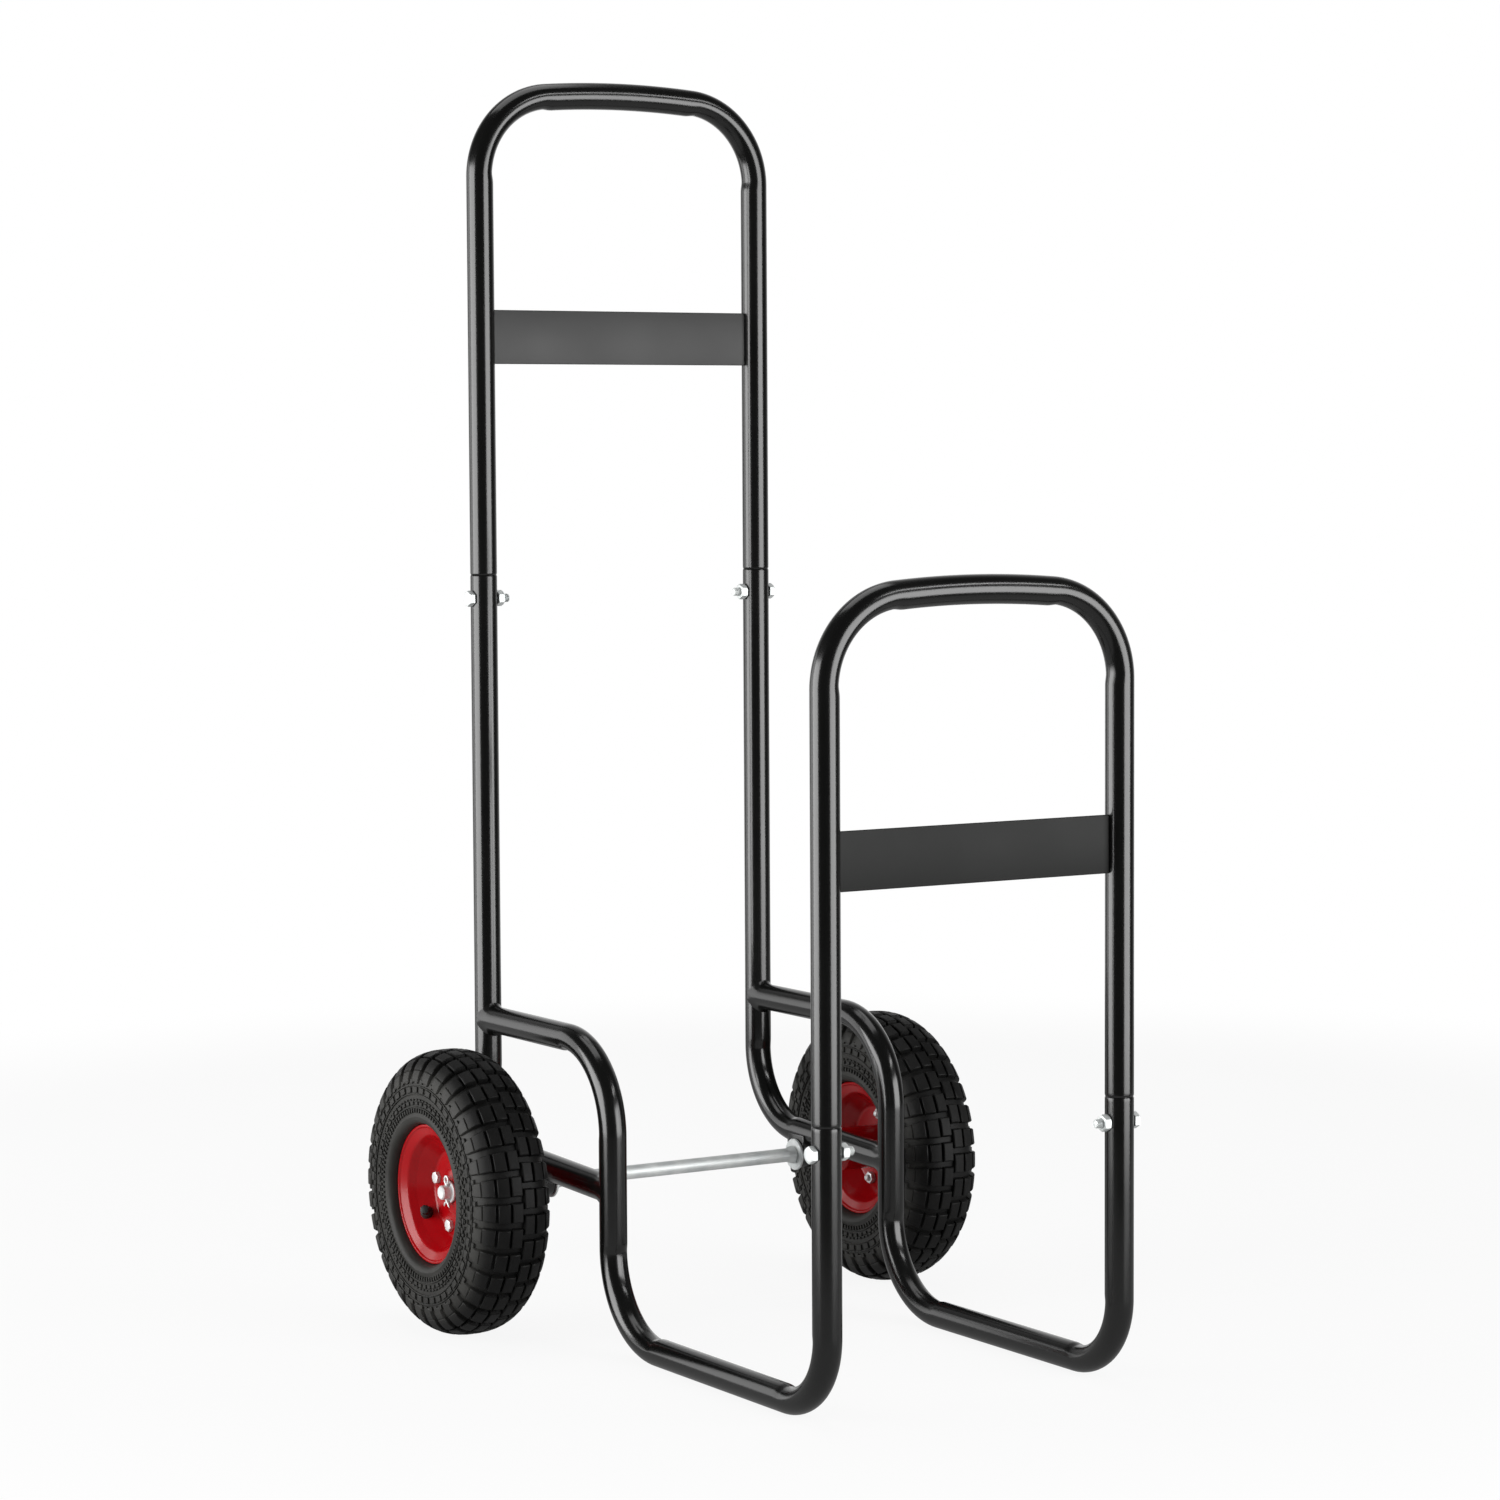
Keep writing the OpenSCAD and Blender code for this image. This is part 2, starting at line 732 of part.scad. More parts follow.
// Rubber stem, through the sheet of the outer rim half and out into the dish
module valve_stem(side) {
    color(rubber) at_wheel(side) at_valve()
        translate([0, 0, -stem_root]) cylinder(h = stem_len + stem_root, r = stem_d / 2);
}

module valve_cap(side) {
    color(rubber) at_wheel(side) at_valve()
        translate([0, 0, stem_len]) cylinder(h = cap_len, r = cap_d / 2);
}

module left_valve_stem() { valve_stem(-1); }
module right_valve_stem() { valve_stem(1); }
module left_valve_cap() { valve_cap(-1); }
module right_valve_cap() { valve_cap(1); }

// ---------------------------------------------------------------- hubs

module hub(side) {
    color(paint_red) at_wheel(side)
        ring_x(hub_r, bearing_r, hub_proud - hub_len, hub_proud);
}

module left_hub() { hub(-1); }
module right_hub() { hub(1); }

// Puts a bearing piece, modelled round its own middle, at both ends of the hub
module at_bearings(side) {
    at_wheel(side)
        for (x = [hub_proud - bearing_w / 2, hub_proud - hub_len + bearing_w / 2])
            translate([x, 0, 0]) children();
}

// Track that the balls run in
module ball_track() {
    turned() translate([ball_circle_r, 0]) circle(r = ball_r + ball_fit);
}

module outer_races(side) {
    color(bright_steel) at_bearings(side)
        difference() {
            ring_x(bearing_r - weld_gap, outer_race_bore_r, -bearing_w / 2, bearing_w / 2);
            ball_track();
        }
}

module inner_races(side) {
    color(bright_steel) at_bearings(side)
        difference() {
            ring_x(inner_race_r, inner_race_bore_r, -bearing_w / 2, bearing_w / 2);
            ball_track();
        }
}

module ball_places() {
    for (i = [0 : balls - 1])
        rotate([i * 360 / balls, 0, 0]) translate([0, ball_circle_r, 0]) children();
}

module ball_set(side) {
    color(bright_steel) at_bearings(side) ball_places() sphere(r = ball_r);
}

// Ring that keeps the balls apart
module ball_cages(side) {
    half_w = ball_r + cage_edge;
    color(zinc) at_bearings(side)
        difference() {
            ring_x(ball_circle_r + cage_t / 2, ball_circle_r - cage_t / 2, -half_w, half_w);
            ball_places() rotate([90, 0, 0])
                cylinder(h = race_gap, r = ball_r + ball_fit, center = true);
        }
}

module left_outer_races() { outer_races(-1); }
module right_outer_races() { outer_races(1); }
module left_inner_races() { inner_races(-1); }
module right_inner_races() { inner_races(1); }
module left_balls() { ball_set(-1); }
module right_balls() { ball_set(1); }
module left_ball_cages() { ball_cages(-1); }
module right_ball_cages() { ball_cages(1); }

// ---------------------------------------------------------------- the cart

handle_hoop();
handle_crossplate();
front_hoop();
front_crossplate();
left_rear_tube();
right_rear_tube();
left_cradle_tube();
right_cradle_tube();
left_axle_lug();
right_axle_lug();
axle();
inner_washers();
hub_spacers();
outer_washers();
split_pins();
handle_bolts();
handle_nuts();
front_bolts();
front_nuts();
left_tyre();
left_inner_tube();
left_rim_outer();
left_rim_inner();
left_hub();
left_outer_races();
left_balls();
left_ball_cages();
left_inner_races();
left_rim_bolts();
left_rim_nuts();
left_valve_stem();
left_valve_cap();
right_tyre();
right_inner_tube();
right_rim_outer();
right_rim_inner();
right_hub();
right_outer_races();
right_balls();
right_ball_cages();
right_inner_races();
right_rim_bolts();
right_rim_nuts();
right_valve_stem();
right_valve_cap();
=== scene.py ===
import bisect
import math

import bmesh
import bpy
from mathutils import Matrix, Vector


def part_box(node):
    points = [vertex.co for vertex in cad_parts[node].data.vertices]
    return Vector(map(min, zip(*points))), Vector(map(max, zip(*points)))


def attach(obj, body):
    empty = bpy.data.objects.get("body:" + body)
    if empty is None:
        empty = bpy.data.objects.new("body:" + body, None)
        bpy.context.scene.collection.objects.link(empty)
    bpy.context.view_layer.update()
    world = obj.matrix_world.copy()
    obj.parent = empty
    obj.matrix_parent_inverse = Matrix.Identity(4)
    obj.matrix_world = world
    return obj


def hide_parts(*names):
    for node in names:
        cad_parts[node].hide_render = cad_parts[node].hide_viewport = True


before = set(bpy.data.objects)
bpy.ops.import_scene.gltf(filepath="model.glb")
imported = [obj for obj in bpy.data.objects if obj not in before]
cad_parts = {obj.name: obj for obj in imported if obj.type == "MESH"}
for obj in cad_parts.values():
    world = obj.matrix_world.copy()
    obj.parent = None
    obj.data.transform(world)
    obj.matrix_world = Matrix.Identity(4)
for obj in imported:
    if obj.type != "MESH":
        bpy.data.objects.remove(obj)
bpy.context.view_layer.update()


# Rear tubes
# Two uprights of 25 mm steel tube, each bent forward at its foot into the arm
# over the axle. The arm's end is cut round and welded to the cradle's post.
SIDES = (("left", -1), ("right", 1))
TUBE_R = 0.0125
BORE_R = 0.011
rear_low, rear_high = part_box("left_rear_tube")
LEG_X = -(rear_low.x + rear_high.x) / 2
REAR_Y = rear_high.y - TUBE_R
POST_Y = 0.0465
HANDLE_SEAM = rear_high.z
NOISE_SPAN = (0.3, 0.7)


def node_in(tree, kind, inputs=None, **settings):
    """A node with its settings, and its inputs by name or number: a socket is linked, a value set."""
    node = tree.nodes.new(kind)
    for name, value in settings.items():
        setattr(node, name, value)
    for key, value in (inputs or {}).items():
        if isinstance(value, bpy.types.NodeSocket):
            tree.links.new(value, node.inputs[key])
        else:
            node.inputs[key].default_value = value
    return node


def spread(tree, value, to, over=(0, 1), **settings):
    """A value that goes from to[0] to to[1] as another goes over a span."""
    return node_in(tree, "ShaderNodeMapRange", {
        "Value": value, "From Min": over[0], "From Max": over[1], "To Min": to[0], "To Max": to[1]},
        **settings).outputs["Result"]


def finish_of(name, dark, light, rough, grain, bump, **constants):
    """A painted, plated or moulded finish: colour and roughness drift with noise.

    dark and light are the ends of its colour, rough those of its roughness.
    grain is the size of the drift and of the fine texture, per metre, and bump
    the depth of that texture in metres."""
    material = bpy.data.materials.new(name)
    material.use_nodes = True
    tree = material.node_tree
    tree.nodes.clear()
    place = node_in(tree, "ShaderNodeTexCoord").outputs["Object"]
    drift = node_in(tree, "ShaderNodeTexNoise", {"Vector": place, "Scale": grain[0], "Detail": 5})
    colour = node_in(tree, "ShaderNodeValToRGB", {"Fac": drift.outputs["Fac"]})
    first, last = colour.color_ramp.elements
    first.position, last.position = NOISE_SPAN
    first.color, last.color = (*dark, 1), (*light, 1)
    gloss = spread(tree, drift.outputs["Fac"], rough, NOISE_SPAN)
    texture = node_in(tree, "ShaderNodeTexNoise", {"Vector": place, "Scale": grain[1], "Detail": 2})
    relief = node_in(tree, "ShaderNodeBump", {
        "Height": texture.outputs["Fac"], "Strength": 1, "Distance": bump})
    surface = node_in(tree, "ShaderNodeBsdfPrincipled", {
        "Base Color": colour.outputs["Color"], "Roughness": gloss,
        "Normal": relief.outputs["Normal"], **constants})
    node_in(tree, "ShaderNodeOutputMaterial", {"Surface": surface.outputs["BSDF"]})
    return material


black_paint = finish_of("black_powder_coat", (0.0030, 0.0031, 0.0029), (0.0050, 0.0051, 0.0048),
                        (0.17, 0.22), (9, 900), 0.000003, IOR=1.6)


def placed(name, data):
    """A new object in the scene, at the origin."""
    obj = bpy.data.objects.new(name, data)
    bpy.context.scene.collection.objects.link(obj)
    return obj


def piece_of(name, mesh, material, smooth=40):
    """A finished piece at the origin, shaded smooth up to an angle between faces."""
    mesh.name = name
    mesh.materials.clear()
    mesh.materials.append(material)
    mesh.shade_smooth()
    mesh.set_sharp_from_angle(angle=math.radians(smooth))
    return placed(name, mesh)


def skin(build, rings, caps=False):
    """Faces from each ring of places to the next and, with caps, over both ends."""
    rows = [[build.verts.new(place) for place in ring] for ring in rings]
    for a, b in zip(rows, rows[1:]):
        for k in range(len(a)):
            after = (k + 1) % len(a)
            build.faces.new((a[k], a[after], b[after], b[k]))
    if caps:
        build.faces.new(rows[0][::-1])
        build.faces.new(rows[-1])


def mesh_of(build, merge=1e-7):
    """The mesh of a closed bmesh, with its doubles merged and its faces turned outward."""
    bmesh.ops.remove_doubles(build, verts=build.verts, dist=merge)
    bmesh.ops.recalc_face_normals(build, faces=build.faces)
    mesh = bpy.data.meshes.new("mesh")
    build.to_mesh(mesh)
    build.free()
    return mesh


# A turn wider than this radius is a slight arch, not a bend with a mark, and
# runs and steps shorter than these lengths count as none.
WIDEST_BEND = 0.3
NO_RUN = 1e-6
NO_STEP = 1e-7


def bent_path(corners, bends, spacing=0.02, degrees=3, reach=0.008):
    """Points along a bent tube's axis in its own plane: [place, heading, bend, along].

    corners are where the straight runs would meet, bends the radius at each
    inner corner. bend is 0 on a straight and +-1 in a tight bend, by its hand.
    Points stand spacing apart at most on a run, and degrees or reach in a bend."""
    corners = [Vector(c) for c in corners]
    points = []
    start = corners[0]
    for i in range(1, len(corners)):
        heading = (corners[i] - corners[i - 1]).normalized()
        last = i == len(corners) - 1
        if last:
            turn = cut = 0
        else:
            after = (corners[i + 1] - corners[i]).normalized()
            turn = math.atan2(heading.x * after.y - heading.y * after.x, heading.dot(after))
            cut = bends[i - 1] * math.tan(abs(turn) / 2)
        end = corners[i] - heading * cut
        run = (end - start).length
        steps = max(1, math.ceil(run / spacing)) if run > NO_RUN else 0
        for k in range(steps + 1):
            points.append((start + heading * run * (k / steps if steps else 1), heading, 0))
        if not last:
            hand = math.copysign(1, turn)
            side = Vector((-heading.y, heading.x)) * hand
            centre = end + side * bends[i - 1]
            steps = math.ceil(abs(turn) * max(1 / math.radians(degrees), bends[i - 1] / reach))
            tight = hand if bends[i - 1] < WIDEST_BEND else 0
            for k in range(1, steps + 1):
                swing = Matrix.Rotation(turn * k / steps, 2)
                points.append((centre + swing @ (end - centre), swing @ heading, tight))
            start = points[-1][0]
    path, along = [], 0
    for i, (place, heading, bend) in enumerate(points):
        step = (place - points[i - 1][0]).length if i else 0
        if i and step < NO_STEP:
            continue
        along += step
        path.append([place, heading, bend, along])
    return path


# A bend's mark: the tube's inner side steps in by this depth, on this share of
# its round, with points at these places on the ramp
PINCH_DEPTH = 0.0014
PINCH_POWER = 1.6
RAMP_PLACES = (-1, -0.7, -0.4, 0, 0.35, 0.7, 1)


def settle_bends(path, ramp=0.012, nearest=2e-4):
    """Adds points at the start and end of each bend, where the tube's inner side steps in."""
    marks = []
    for a, b in zip(path, path[1:]):
        if a[2] != b[2]:
            marks.append((a[3], 1 if b[2] else -1, b[2] or a[2]))
    alongs = {point[3] for point in path}
    for at, sign, hand in marks:
        alongs.update(at + t * ramp / 2 * sign for t in RAMP_PLACES)
    out, j = [], 0
    for along in sorted(along for along in alongs if 0 <= along <= path[-1][3]):
        while j < len(path) - 2 and path[j + 1][3] < along:
            j += 1
        a, b = path[j], path[j + 1]
        t = min(max((along - a[3]) / (b[3] - a[3]), 0), 1)
        if out and along - out[-1][3] < nearest:
            continue
        pinch = 0
        for at, sign, hand in marks:
            step = min(max((along - at) * sign / ramp + 0.5, 0), 1)
            step = step * step * (3 - 2 * step)
            pinch += hand * (step if sign > 0 else step - 1)
        place = a[0].lerp(b[0], t)
        if a[2] or b[2]:
            both = a[1] + b[1]
            bow = (b[0] - a[0]).length / 8 * math.sqrt(max(0, 4 - both.length ** 2))
            side = Vector((-both.y, both.x)).normalized() * -(b[2] or a[2])
            place += side * bow * 4 * t * (1 - t)
        out.append([place, a[1].lerp(b[1], t).normalized(), pinch, along])
    return out


def with_points(path, places, apart=1e-5):
    """The path with extra points at the given distances along its straight ends."""
    out = list(path)
    for along in places:
        if any(abs(p[3] - along) < apart for p in out):
            continue
        for i in range(len(out) - 1):
            a, b = out[i], out[i + 1]
            if a[3] < along < b[3]:
                t = (along - a[3]) / (b[3] - a[3])
                out.insert(i + 1, [a[0].lerp(b[0], t), a[1], a[2] + (b[2] - a[2]) * t, along])
                break
    return out


def tube_mesh(path, to_row, radius_at, bore, shift_at=None, sides=48):
    """A hollow bent tube with closed end rims.

    to_row turns in-plane coordinates and an offset across the plane into the
    row frame. radius_at(along, angle) is the outer radius, angle 0 being the
    left of the heading in the plane. shift_at moves an end's points along the
    axis, to cut it to the round of another tube."""
    rings = []
    angles = [2 * math.pi * k / sides for k in range(sides)]

    def ring(place, heading, along, radii):
        left = Vector((-heading.y, heading.x))
        places = []
        for angle, radius in zip(angles, radii):
            shift = shift_at(along, angle, radius) if shift_at else 0
            spot = place + left * radius * math.cos(angle) + heading * shift
            places.append(to_row(spot, radius * math.sin(angle)))
        rings.append(places)

    for place, heading, pinch, along in path:
        radii = []
        for angle in angles:
            inner = max(0, math.cos(angle) * (1 if pinch > 0 else -1))
            radii.append(radius_at(along, angle) - abs(pinch) * PINCH_DEPTH * inner ** PINCH_POWER)
        ring(place, heading, along, radii)
    for place, heading, pinch, along in reversed(path):
        ring(place, heading, along, [bore] * sides)
    build = bmesh.new()
    skin(build, rings + rings[:1])
    return mesh_of(build)


ARM_SLOPE = math.radians(2.2)
ARM_BEND = 0.075
AXLE_R = 0.0065
AXLE_Y = 0.191
AXLE_Z = 0.130
ARM_GAP = 0.0004
ARM_Z = AXLE_Z + AXLE_R + ARM_GAP + TUBE_R
SEAM_CHAMFER = 0.0018
SEAM_DEPTH = 0.0006
SEAM_PLACES = [SEAM_CHAMFER * k / 4 for k in range(1, 5)] + [0.004]
CUT_LEN = 0.012
CUT_FADE = 0.011
WELD_REACH = 0.008
WELD_RISE = 0.0032
WELD_PLACES = [0.0004, 0.001, 0.0018, 0.0028, 0.004, 0.0055, 0.0072, CUT_LEN]


def seam_round(along):
    """The softened edge of a tube's mouth."""
    return SEAM_DEPTH * max(0, 1 - along / SEAM_CHAMFER) ** 2


def saddle(across, left):
    """How far a cut end's sides run on past its middle, to meet the round of the tube it is welded to."""
    return (TUBE_R - math.sqrt(max(0.0, TUBE_R * TUBE_R - across * across))) * max(0, 1 - left / CUT_FADE)


def weld_flare(left, angle):
    """The weld's hollow run-out on the upper and lower side of a cut end."""
    return WELD_RISE * max(0, 1 - left / WELD_REACH) ** 2.2 * abs(math.cos(angle)) ** 1.3


def side_plane(side):
    """Turns a place in a side frame's plane, its x forward from the upright, into the row frame."""
    return lambda spot, across: (side * (LEG_X + across), REAR_Y - spot.x, spot.y)


def rear_tube(name, side):
    fall = math.tan(ARM_SLOPE)
    rear_z = ARM_Z + (REAR_Y - AXLE_Y) * fall
    depth = REAR_Y - POST_Y
    path = bent_path([(0, HANDLE_SEAM), (0, rear_z), (depth, rear_z - depth * fall)], [ARM_BEND])
    path = settle_bends(path)
    total = path[-1][3] - TUBE_R
    while path[-1][3] > total - CUT_LEN:
        path.pop()
    place, heading, _, along = path[-1]
    path.append([place + heading * (total - along), heading, 0, total])
    path = with_points(path, SEAM_PLACES + [total - d for d in WELD_PLACES])

    def radius_at(along, angle):
        return TUBE_R - seam_round(along) + weld_flare(total - along, angle)

    def shift_at(along, angle, radius):
        return saddle(radius * math.sin(angle), total - along)

    mesh = tube_mesh(path, side_plane(side), radius_at, BORE_R, shift_at)
    obj = piece_of(f"{name}_rear_tube_and_arm", mesh, black_paint)
    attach(obj, "frame")
    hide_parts(f"{name}_rear_tube")


for name, side in SIDES:
    rear_tube(name, side)


# Cradle tubes
# Each leaves the rear upright, drops as a post, runs along the ground and rises
# as the front upright. Its rear end is cut round and welded to the upright.
FRONT_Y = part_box("left_cradle_tube")[0].y + TUBE_R
CRADLE_TOP = 0.2725
CRADLE_BEND = 0.080
CRADLE_RAMP = 0.010
TOE_BEND = 0.062
FRONT_SEAM = 0.250


def cradle_tube(name, side):
    depth, length = REAR_Y - POST_Y, REAR_Y - FRONT_Y
    path = bent_path([(0, CRADLE_TOP), (depth, CRADLE_TOP), (depth, TUBE_R),
                      (length, TUBE_R), (length, FRONT_SEAM)],
                     [CRADLE_BEND, CRADLE_BEND, TOE_BEND])
    path = settle_bends(path, CRADLE_RAMP)
    start, total = TUBE_R, path[-1][3]
    while path[0][3] < start + CUT_LEN:
        path.pop(0)
    path.insert(0, [Vector((start, CRADLE_TOP)), Vector((1, 0)), 0, start])
    path = with_points(path, [start + d for d in WELD_PLACES] + [total - d for d in SEAM_PLACES])

    def radius_at(along, angle):
        return TUBE_R - seam_round(total - along) + weld_flare(along - start, angle)

    def shift_at(along, angle, radius):
        return -saddle(radius * math.sin(angle), along - start)

    mesh = tube_mesh(path, side_plane(side), radius_at, BORE_R, shift_at)
    obj = piece_of(f"{name}_cradle_bent_tube", mesh, black_paint)
    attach(obj, "frame")
    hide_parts(f"{name}_cradle_tube")


for name, side in SIDES:
    cradle_tube(name, side)


# Hoops
# The tall handle hoop and the short front hoop: one bent tube each, with a
# slight arch across the top. The reduced feet push into the tubes below.
HOOP_BEND = 0.076
HOOP_CROWN = 0.95
SPIGOT_R = 0.0109
SPIGOT_WALL = 0.0015
SPIGOT_LEN = 0.045
SPIGOT_STEP = 0.00002


def hoop(name, node, seam, y):
    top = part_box(node)[1].z
    half = math.asin((LEG_X - HOOP_BEND) / (HOOP_CROWN - HOOP_BEND))
    crown_z = top - TUBE_R + HOOP_CROWN * (1 / math.cos(half) - 1)
    corner_z = crown_z - LEG_X * math.tan(half)
    foot = seam - SPIGOT_LEN
    path = bent_path([(-LEG_X, foot), (-LEG_X, corner_z), (0, crown_z),
                      (LEG_X, corner_z), (LEG_X, foot)], [HOOP_BEND, HOOP_CROWN, HOOP_BEND])
    path = settle_bends(path)
    total = path[-1][3]
    shoulder = SPIGOT_LEN + SPIGOT_STEP
    marks = [SPIGOT_LEN, shoulder] + [shoulder + d for d in SEAM_PLACES]
    path = with_points(path, marks + [total - m for m in marks])

    def radius_at(along, angle):
        end = min(along, total - along)
        if end < shoulder - SPIGOT_STEP / 2:
            return SPIGOT_R
        return TUBE_R - seam_round(end - shoulder)

    mesh = tube_mesh(path, lambda spot, across: (spot.x, y + across, spot.y), radius_at,
                     SPIGOT_R - SPIGOT_WALL)
    obj = piece_of(name, mesh, black_paint)
    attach(obj, "frame")
    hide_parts(node)


hoop("tall_handle_hoop", "handle_hoop", HANDLE_SEAM, REAR_Y)
hoop("short_front_hoop", "front_hoop", FRONT_SEAM, FRONT_Y)


# Flat strips
# One strip of 3 mm steel across each hoop, welded between its legs, with its
# long edges softened by the paint.
STRIP_REACH = TUBE_R * 0.25
STRIP_EDGE = 0.0007


def flat_strip(name, node, finish):
    low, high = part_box(node)
    middle, size = (low + high) / 2, high - low
    build = bmesh.new()
    bmesh.ops.create_cube(build, size=1)
    for v in build.verts:
        v.co = Vector((v.co.x * (size.x + 2 * STRIP_REACH), v.co.y * size.y, v.co.z * size.z)) + middle
    edges = [e for e in build.edges if e.verts[0].co.x * e.verts[1].co.x < 0]
    bmesh.ops.bevel(build, geom=edges, offset=STRIP_EDGE, segments=3, profile=0.5, affect="EDGES")
    obj = piece_of(name, mesh_of(build), finish)
    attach(obj, "frame")
    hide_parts(node)


# Both strips have one black coat. The handle strip's colour is painted lighter, a painted sheen, and the
# front strip's is painted darker, a painted shade, for the light each gets. Their roughness and shine
# differ too.
flat_strip("handle_flat_strip", "handle_crossplate",
           finish_of("satin_black_coat", (0.010, 0.0105, 0.010), (0.014, 0.0145, 0.014), (0.46, 0.54),
                     (9, 900), 0.000010, IOR=1.54))
flat_strip("front_flat_strip", "front_crossplate",
           finish_of("matt_black_coat", (0.006, 0.0065, 0.006), (0.009, 0.0095, 0.009), (0.50, 0.58),
                     (9, 900), 0.000010, IOR=1.32))


# Axle lugs
# A block with a round lower edge under each arm, saddled and welded to it and
# bored for the axle.
LUG_HALF_LEN = 0.014
LUG_R = 0.0135
LUG_EDGE = 0.0012
LUG_STEPS = 24


def axle_lug(name, side):
    top = ARM_Z - AXLE_Z
    angles = [math.pi * k / LUG_STEPS for k in range(LUG_STEPS + 1)]
    outline = [(LUG_R * math.cos(a), -LUG_R * math.sin(a)) for a in angles]
    outline = [(LUG_R, top)] + outline + [(-LUG_R, top)]
    build = bmesh.new()
    skin(build, [[(side * LEG_X + x, AXLE_Y + y, AXLE_Z + z) for y, z in outline]
                 for x in (-LUG_HALF_LEN, LUG_HALF_LEN)], caps=True)
    bmesh.ops.recalc_face_normals(build, faces=build.faces)
    rims = [e for e in build.edges
            if e.verts[0].co.x == e.verts[1].co.x and e.calc_face_angle(0) > math.pi / 4]
    bmesh.ops.bevel(build, geom=rims, offset=LUG_EDGE, segments=3, profile=0.5, affect="EDGES")
    obj = piece_of(f"{name}_lug_block", mesh_of(build), black_paint)
    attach(obj, "frame")
    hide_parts(f"{name}_axle_lug")


for name, side in SIDES:
    axle_lug(name, side)


# Axle
# A straight zinc-plated rod through both lugs and hubs, pinched to a flare
# against each inner washer so that it can't slide, with its ends chamfered.
zinc = finish_of("bright_zinc", (0.62, 0.65, 0.65), (0.80, 0.82, 0.81), (0.46, 0.60), (60, 700),
                 0.00002, Metallic=0.60)


def around(ring, centre=(0, 0, 0)):
    """Places round the line along X through centre, from one [x, radius] for each step of the turn."""
    angles = [2 * math.pi * k / len(ring) for k in range(len(ring))]
    return [(centre[0] + x, centre[1] + radius * math.cos(angle), centre[2] + radius * math.sin(angle))
            for (x, radius), angle in zip(ring, angles)]


def turned_mesh(profile, centre, sides=64):
    """A profile of [x, radius] points turned about the line along X through centre.

    One that starts off that line is closed from its last point to its first."""
    rings = [around([point] * sides, centre) for point in profile]
    if profile[0][1] > 0:
        rings.append(rings[0])
    build = bmesh.new()
    skin(build, rings)
    return mesh_of(build)


# The flare's outline, as [distance back from its end by the washer, radius]
FLARE = [(0.0085, AXLE_R), (0.0070, 0.0068), (0.0050, 0.0077), (0.0025, 0.0084), (0.0006, 0.0085),
         (0, 0.0080), (0, AXLE_R)]
FLARE_GAP = 0.0029
FLARE_X = LEG_X - LUG_HALF_LEN - FLARE_GAP
AXLE_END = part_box("axle")[1].x
AXLE_CHAMFER = 0.0012
AXLE_END_R = 0.0054
half_axle = [(FLARE_X - back, radius) for back, radius in FLARE]
half_axle += [(AXLE_END - AXLE_CHAMFER, AXLE_R), (AXLE_END, AXLE_END_R), (AXLE_END, 0)]
whole_axle = [(-x, radius) for x, radius in reversed(half_axle)] + half_axle
axle_rod = piece_of("axle_rod", turned_mesh(whole_axle, (0, AXLE_Y, AXLE_Z)), zinc)
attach(axle_rod, "frame")
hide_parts("axle")


# Washers and spacers
# Turned steel rings on the axle: a washer inside each lug, a spacer from the
# lug to the hub, and a washer outside the hub, all zinc plated.
RING_BORE_R = 0.00655
SHARP_RING = 30


def ring_pair(name, node, start, end, outer, edge):
    profile = [(start, RING_BORE_R), (end, RING_BORE_R), (end, outer - edge), (end - edge, outer),
               (start + edge, outer), (start, outer - edge)]
    build = bmesh.new()
    for side in (-1, 1):
        build.from_mesh(turned_mesh([(side * x, radius) for x, radius in profile], (0, AXLE_Y, AXLE_Z)))
    obj = piece_of(name, mesh_of(build), zinc, SHARP_RING)
    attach(obj, "frame")
    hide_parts(node)


ring_pair("lug_washers", "inner_washers", start=0.1318, end=0.1343, outer=0.015, edge=0.0005)
ring_pair("axle_spacers", "hub_spacers", start=0.1627, end=0.1818, outer=0.0095, edge=0.0004)
ring_pair("hub_washers", "outer_washers", start=0.2362, end=0.2387, outer=0.010, edge=0.0005)


# Split pins
# A doubled zinc-plated wire through each end of the axle, with an eye on top
# and its two legs bent apart underneath.
PIN_INSET = 0.0065
PIN_X = AXLE_END - PIN_INSET
WIRE_R = 0.0011
WIRE_TIP = 0.35
WIRE_SIDES = 12
PIN_HALF = 0.0008
PIN_TOP = 0.0076
PIN_FOOT = -0.0094
EYE_R = 0.0035
EYE_HALF_W = 0.0032
EYE_GAP = 0.35
EYE_STEPS = 20
LEG_SPREAD = 0.0042


def wire_mesh(points, to_row):
    """A round wire along in-plane points, with rounded ends."""
    points = [Vector(p) for p in points]
    angles = [2 * math.pi * k / WIRE_SIDES for k in range(WIRE_SIDES)]
    rings = []
    for i, place in enumerate(points):
        heading = (points[min(i + 1, len(points) - 1)] - points[max(i - 1, 0)]).normalized()
        left = Vector((-heading.y, heading.x))
        radius = WIRE_R * (WIRE_TIP if i in (0, len(points) - 1) else 1)
        rings.append([to_row(place + left * radius * math.cos(a), radius * math.sin(a)) for a in angles])
    build = bmesh.new()
    skin(build, rings, caps=True)
    return mesh_of(build)


def pin_plane(side):
    """Turns a place in a pin's plane into the row frame."""
    return lambda spot, across: (side * (PIN_X + across), AXLE_Y + spot.x, AXLE_Z + spot.y)


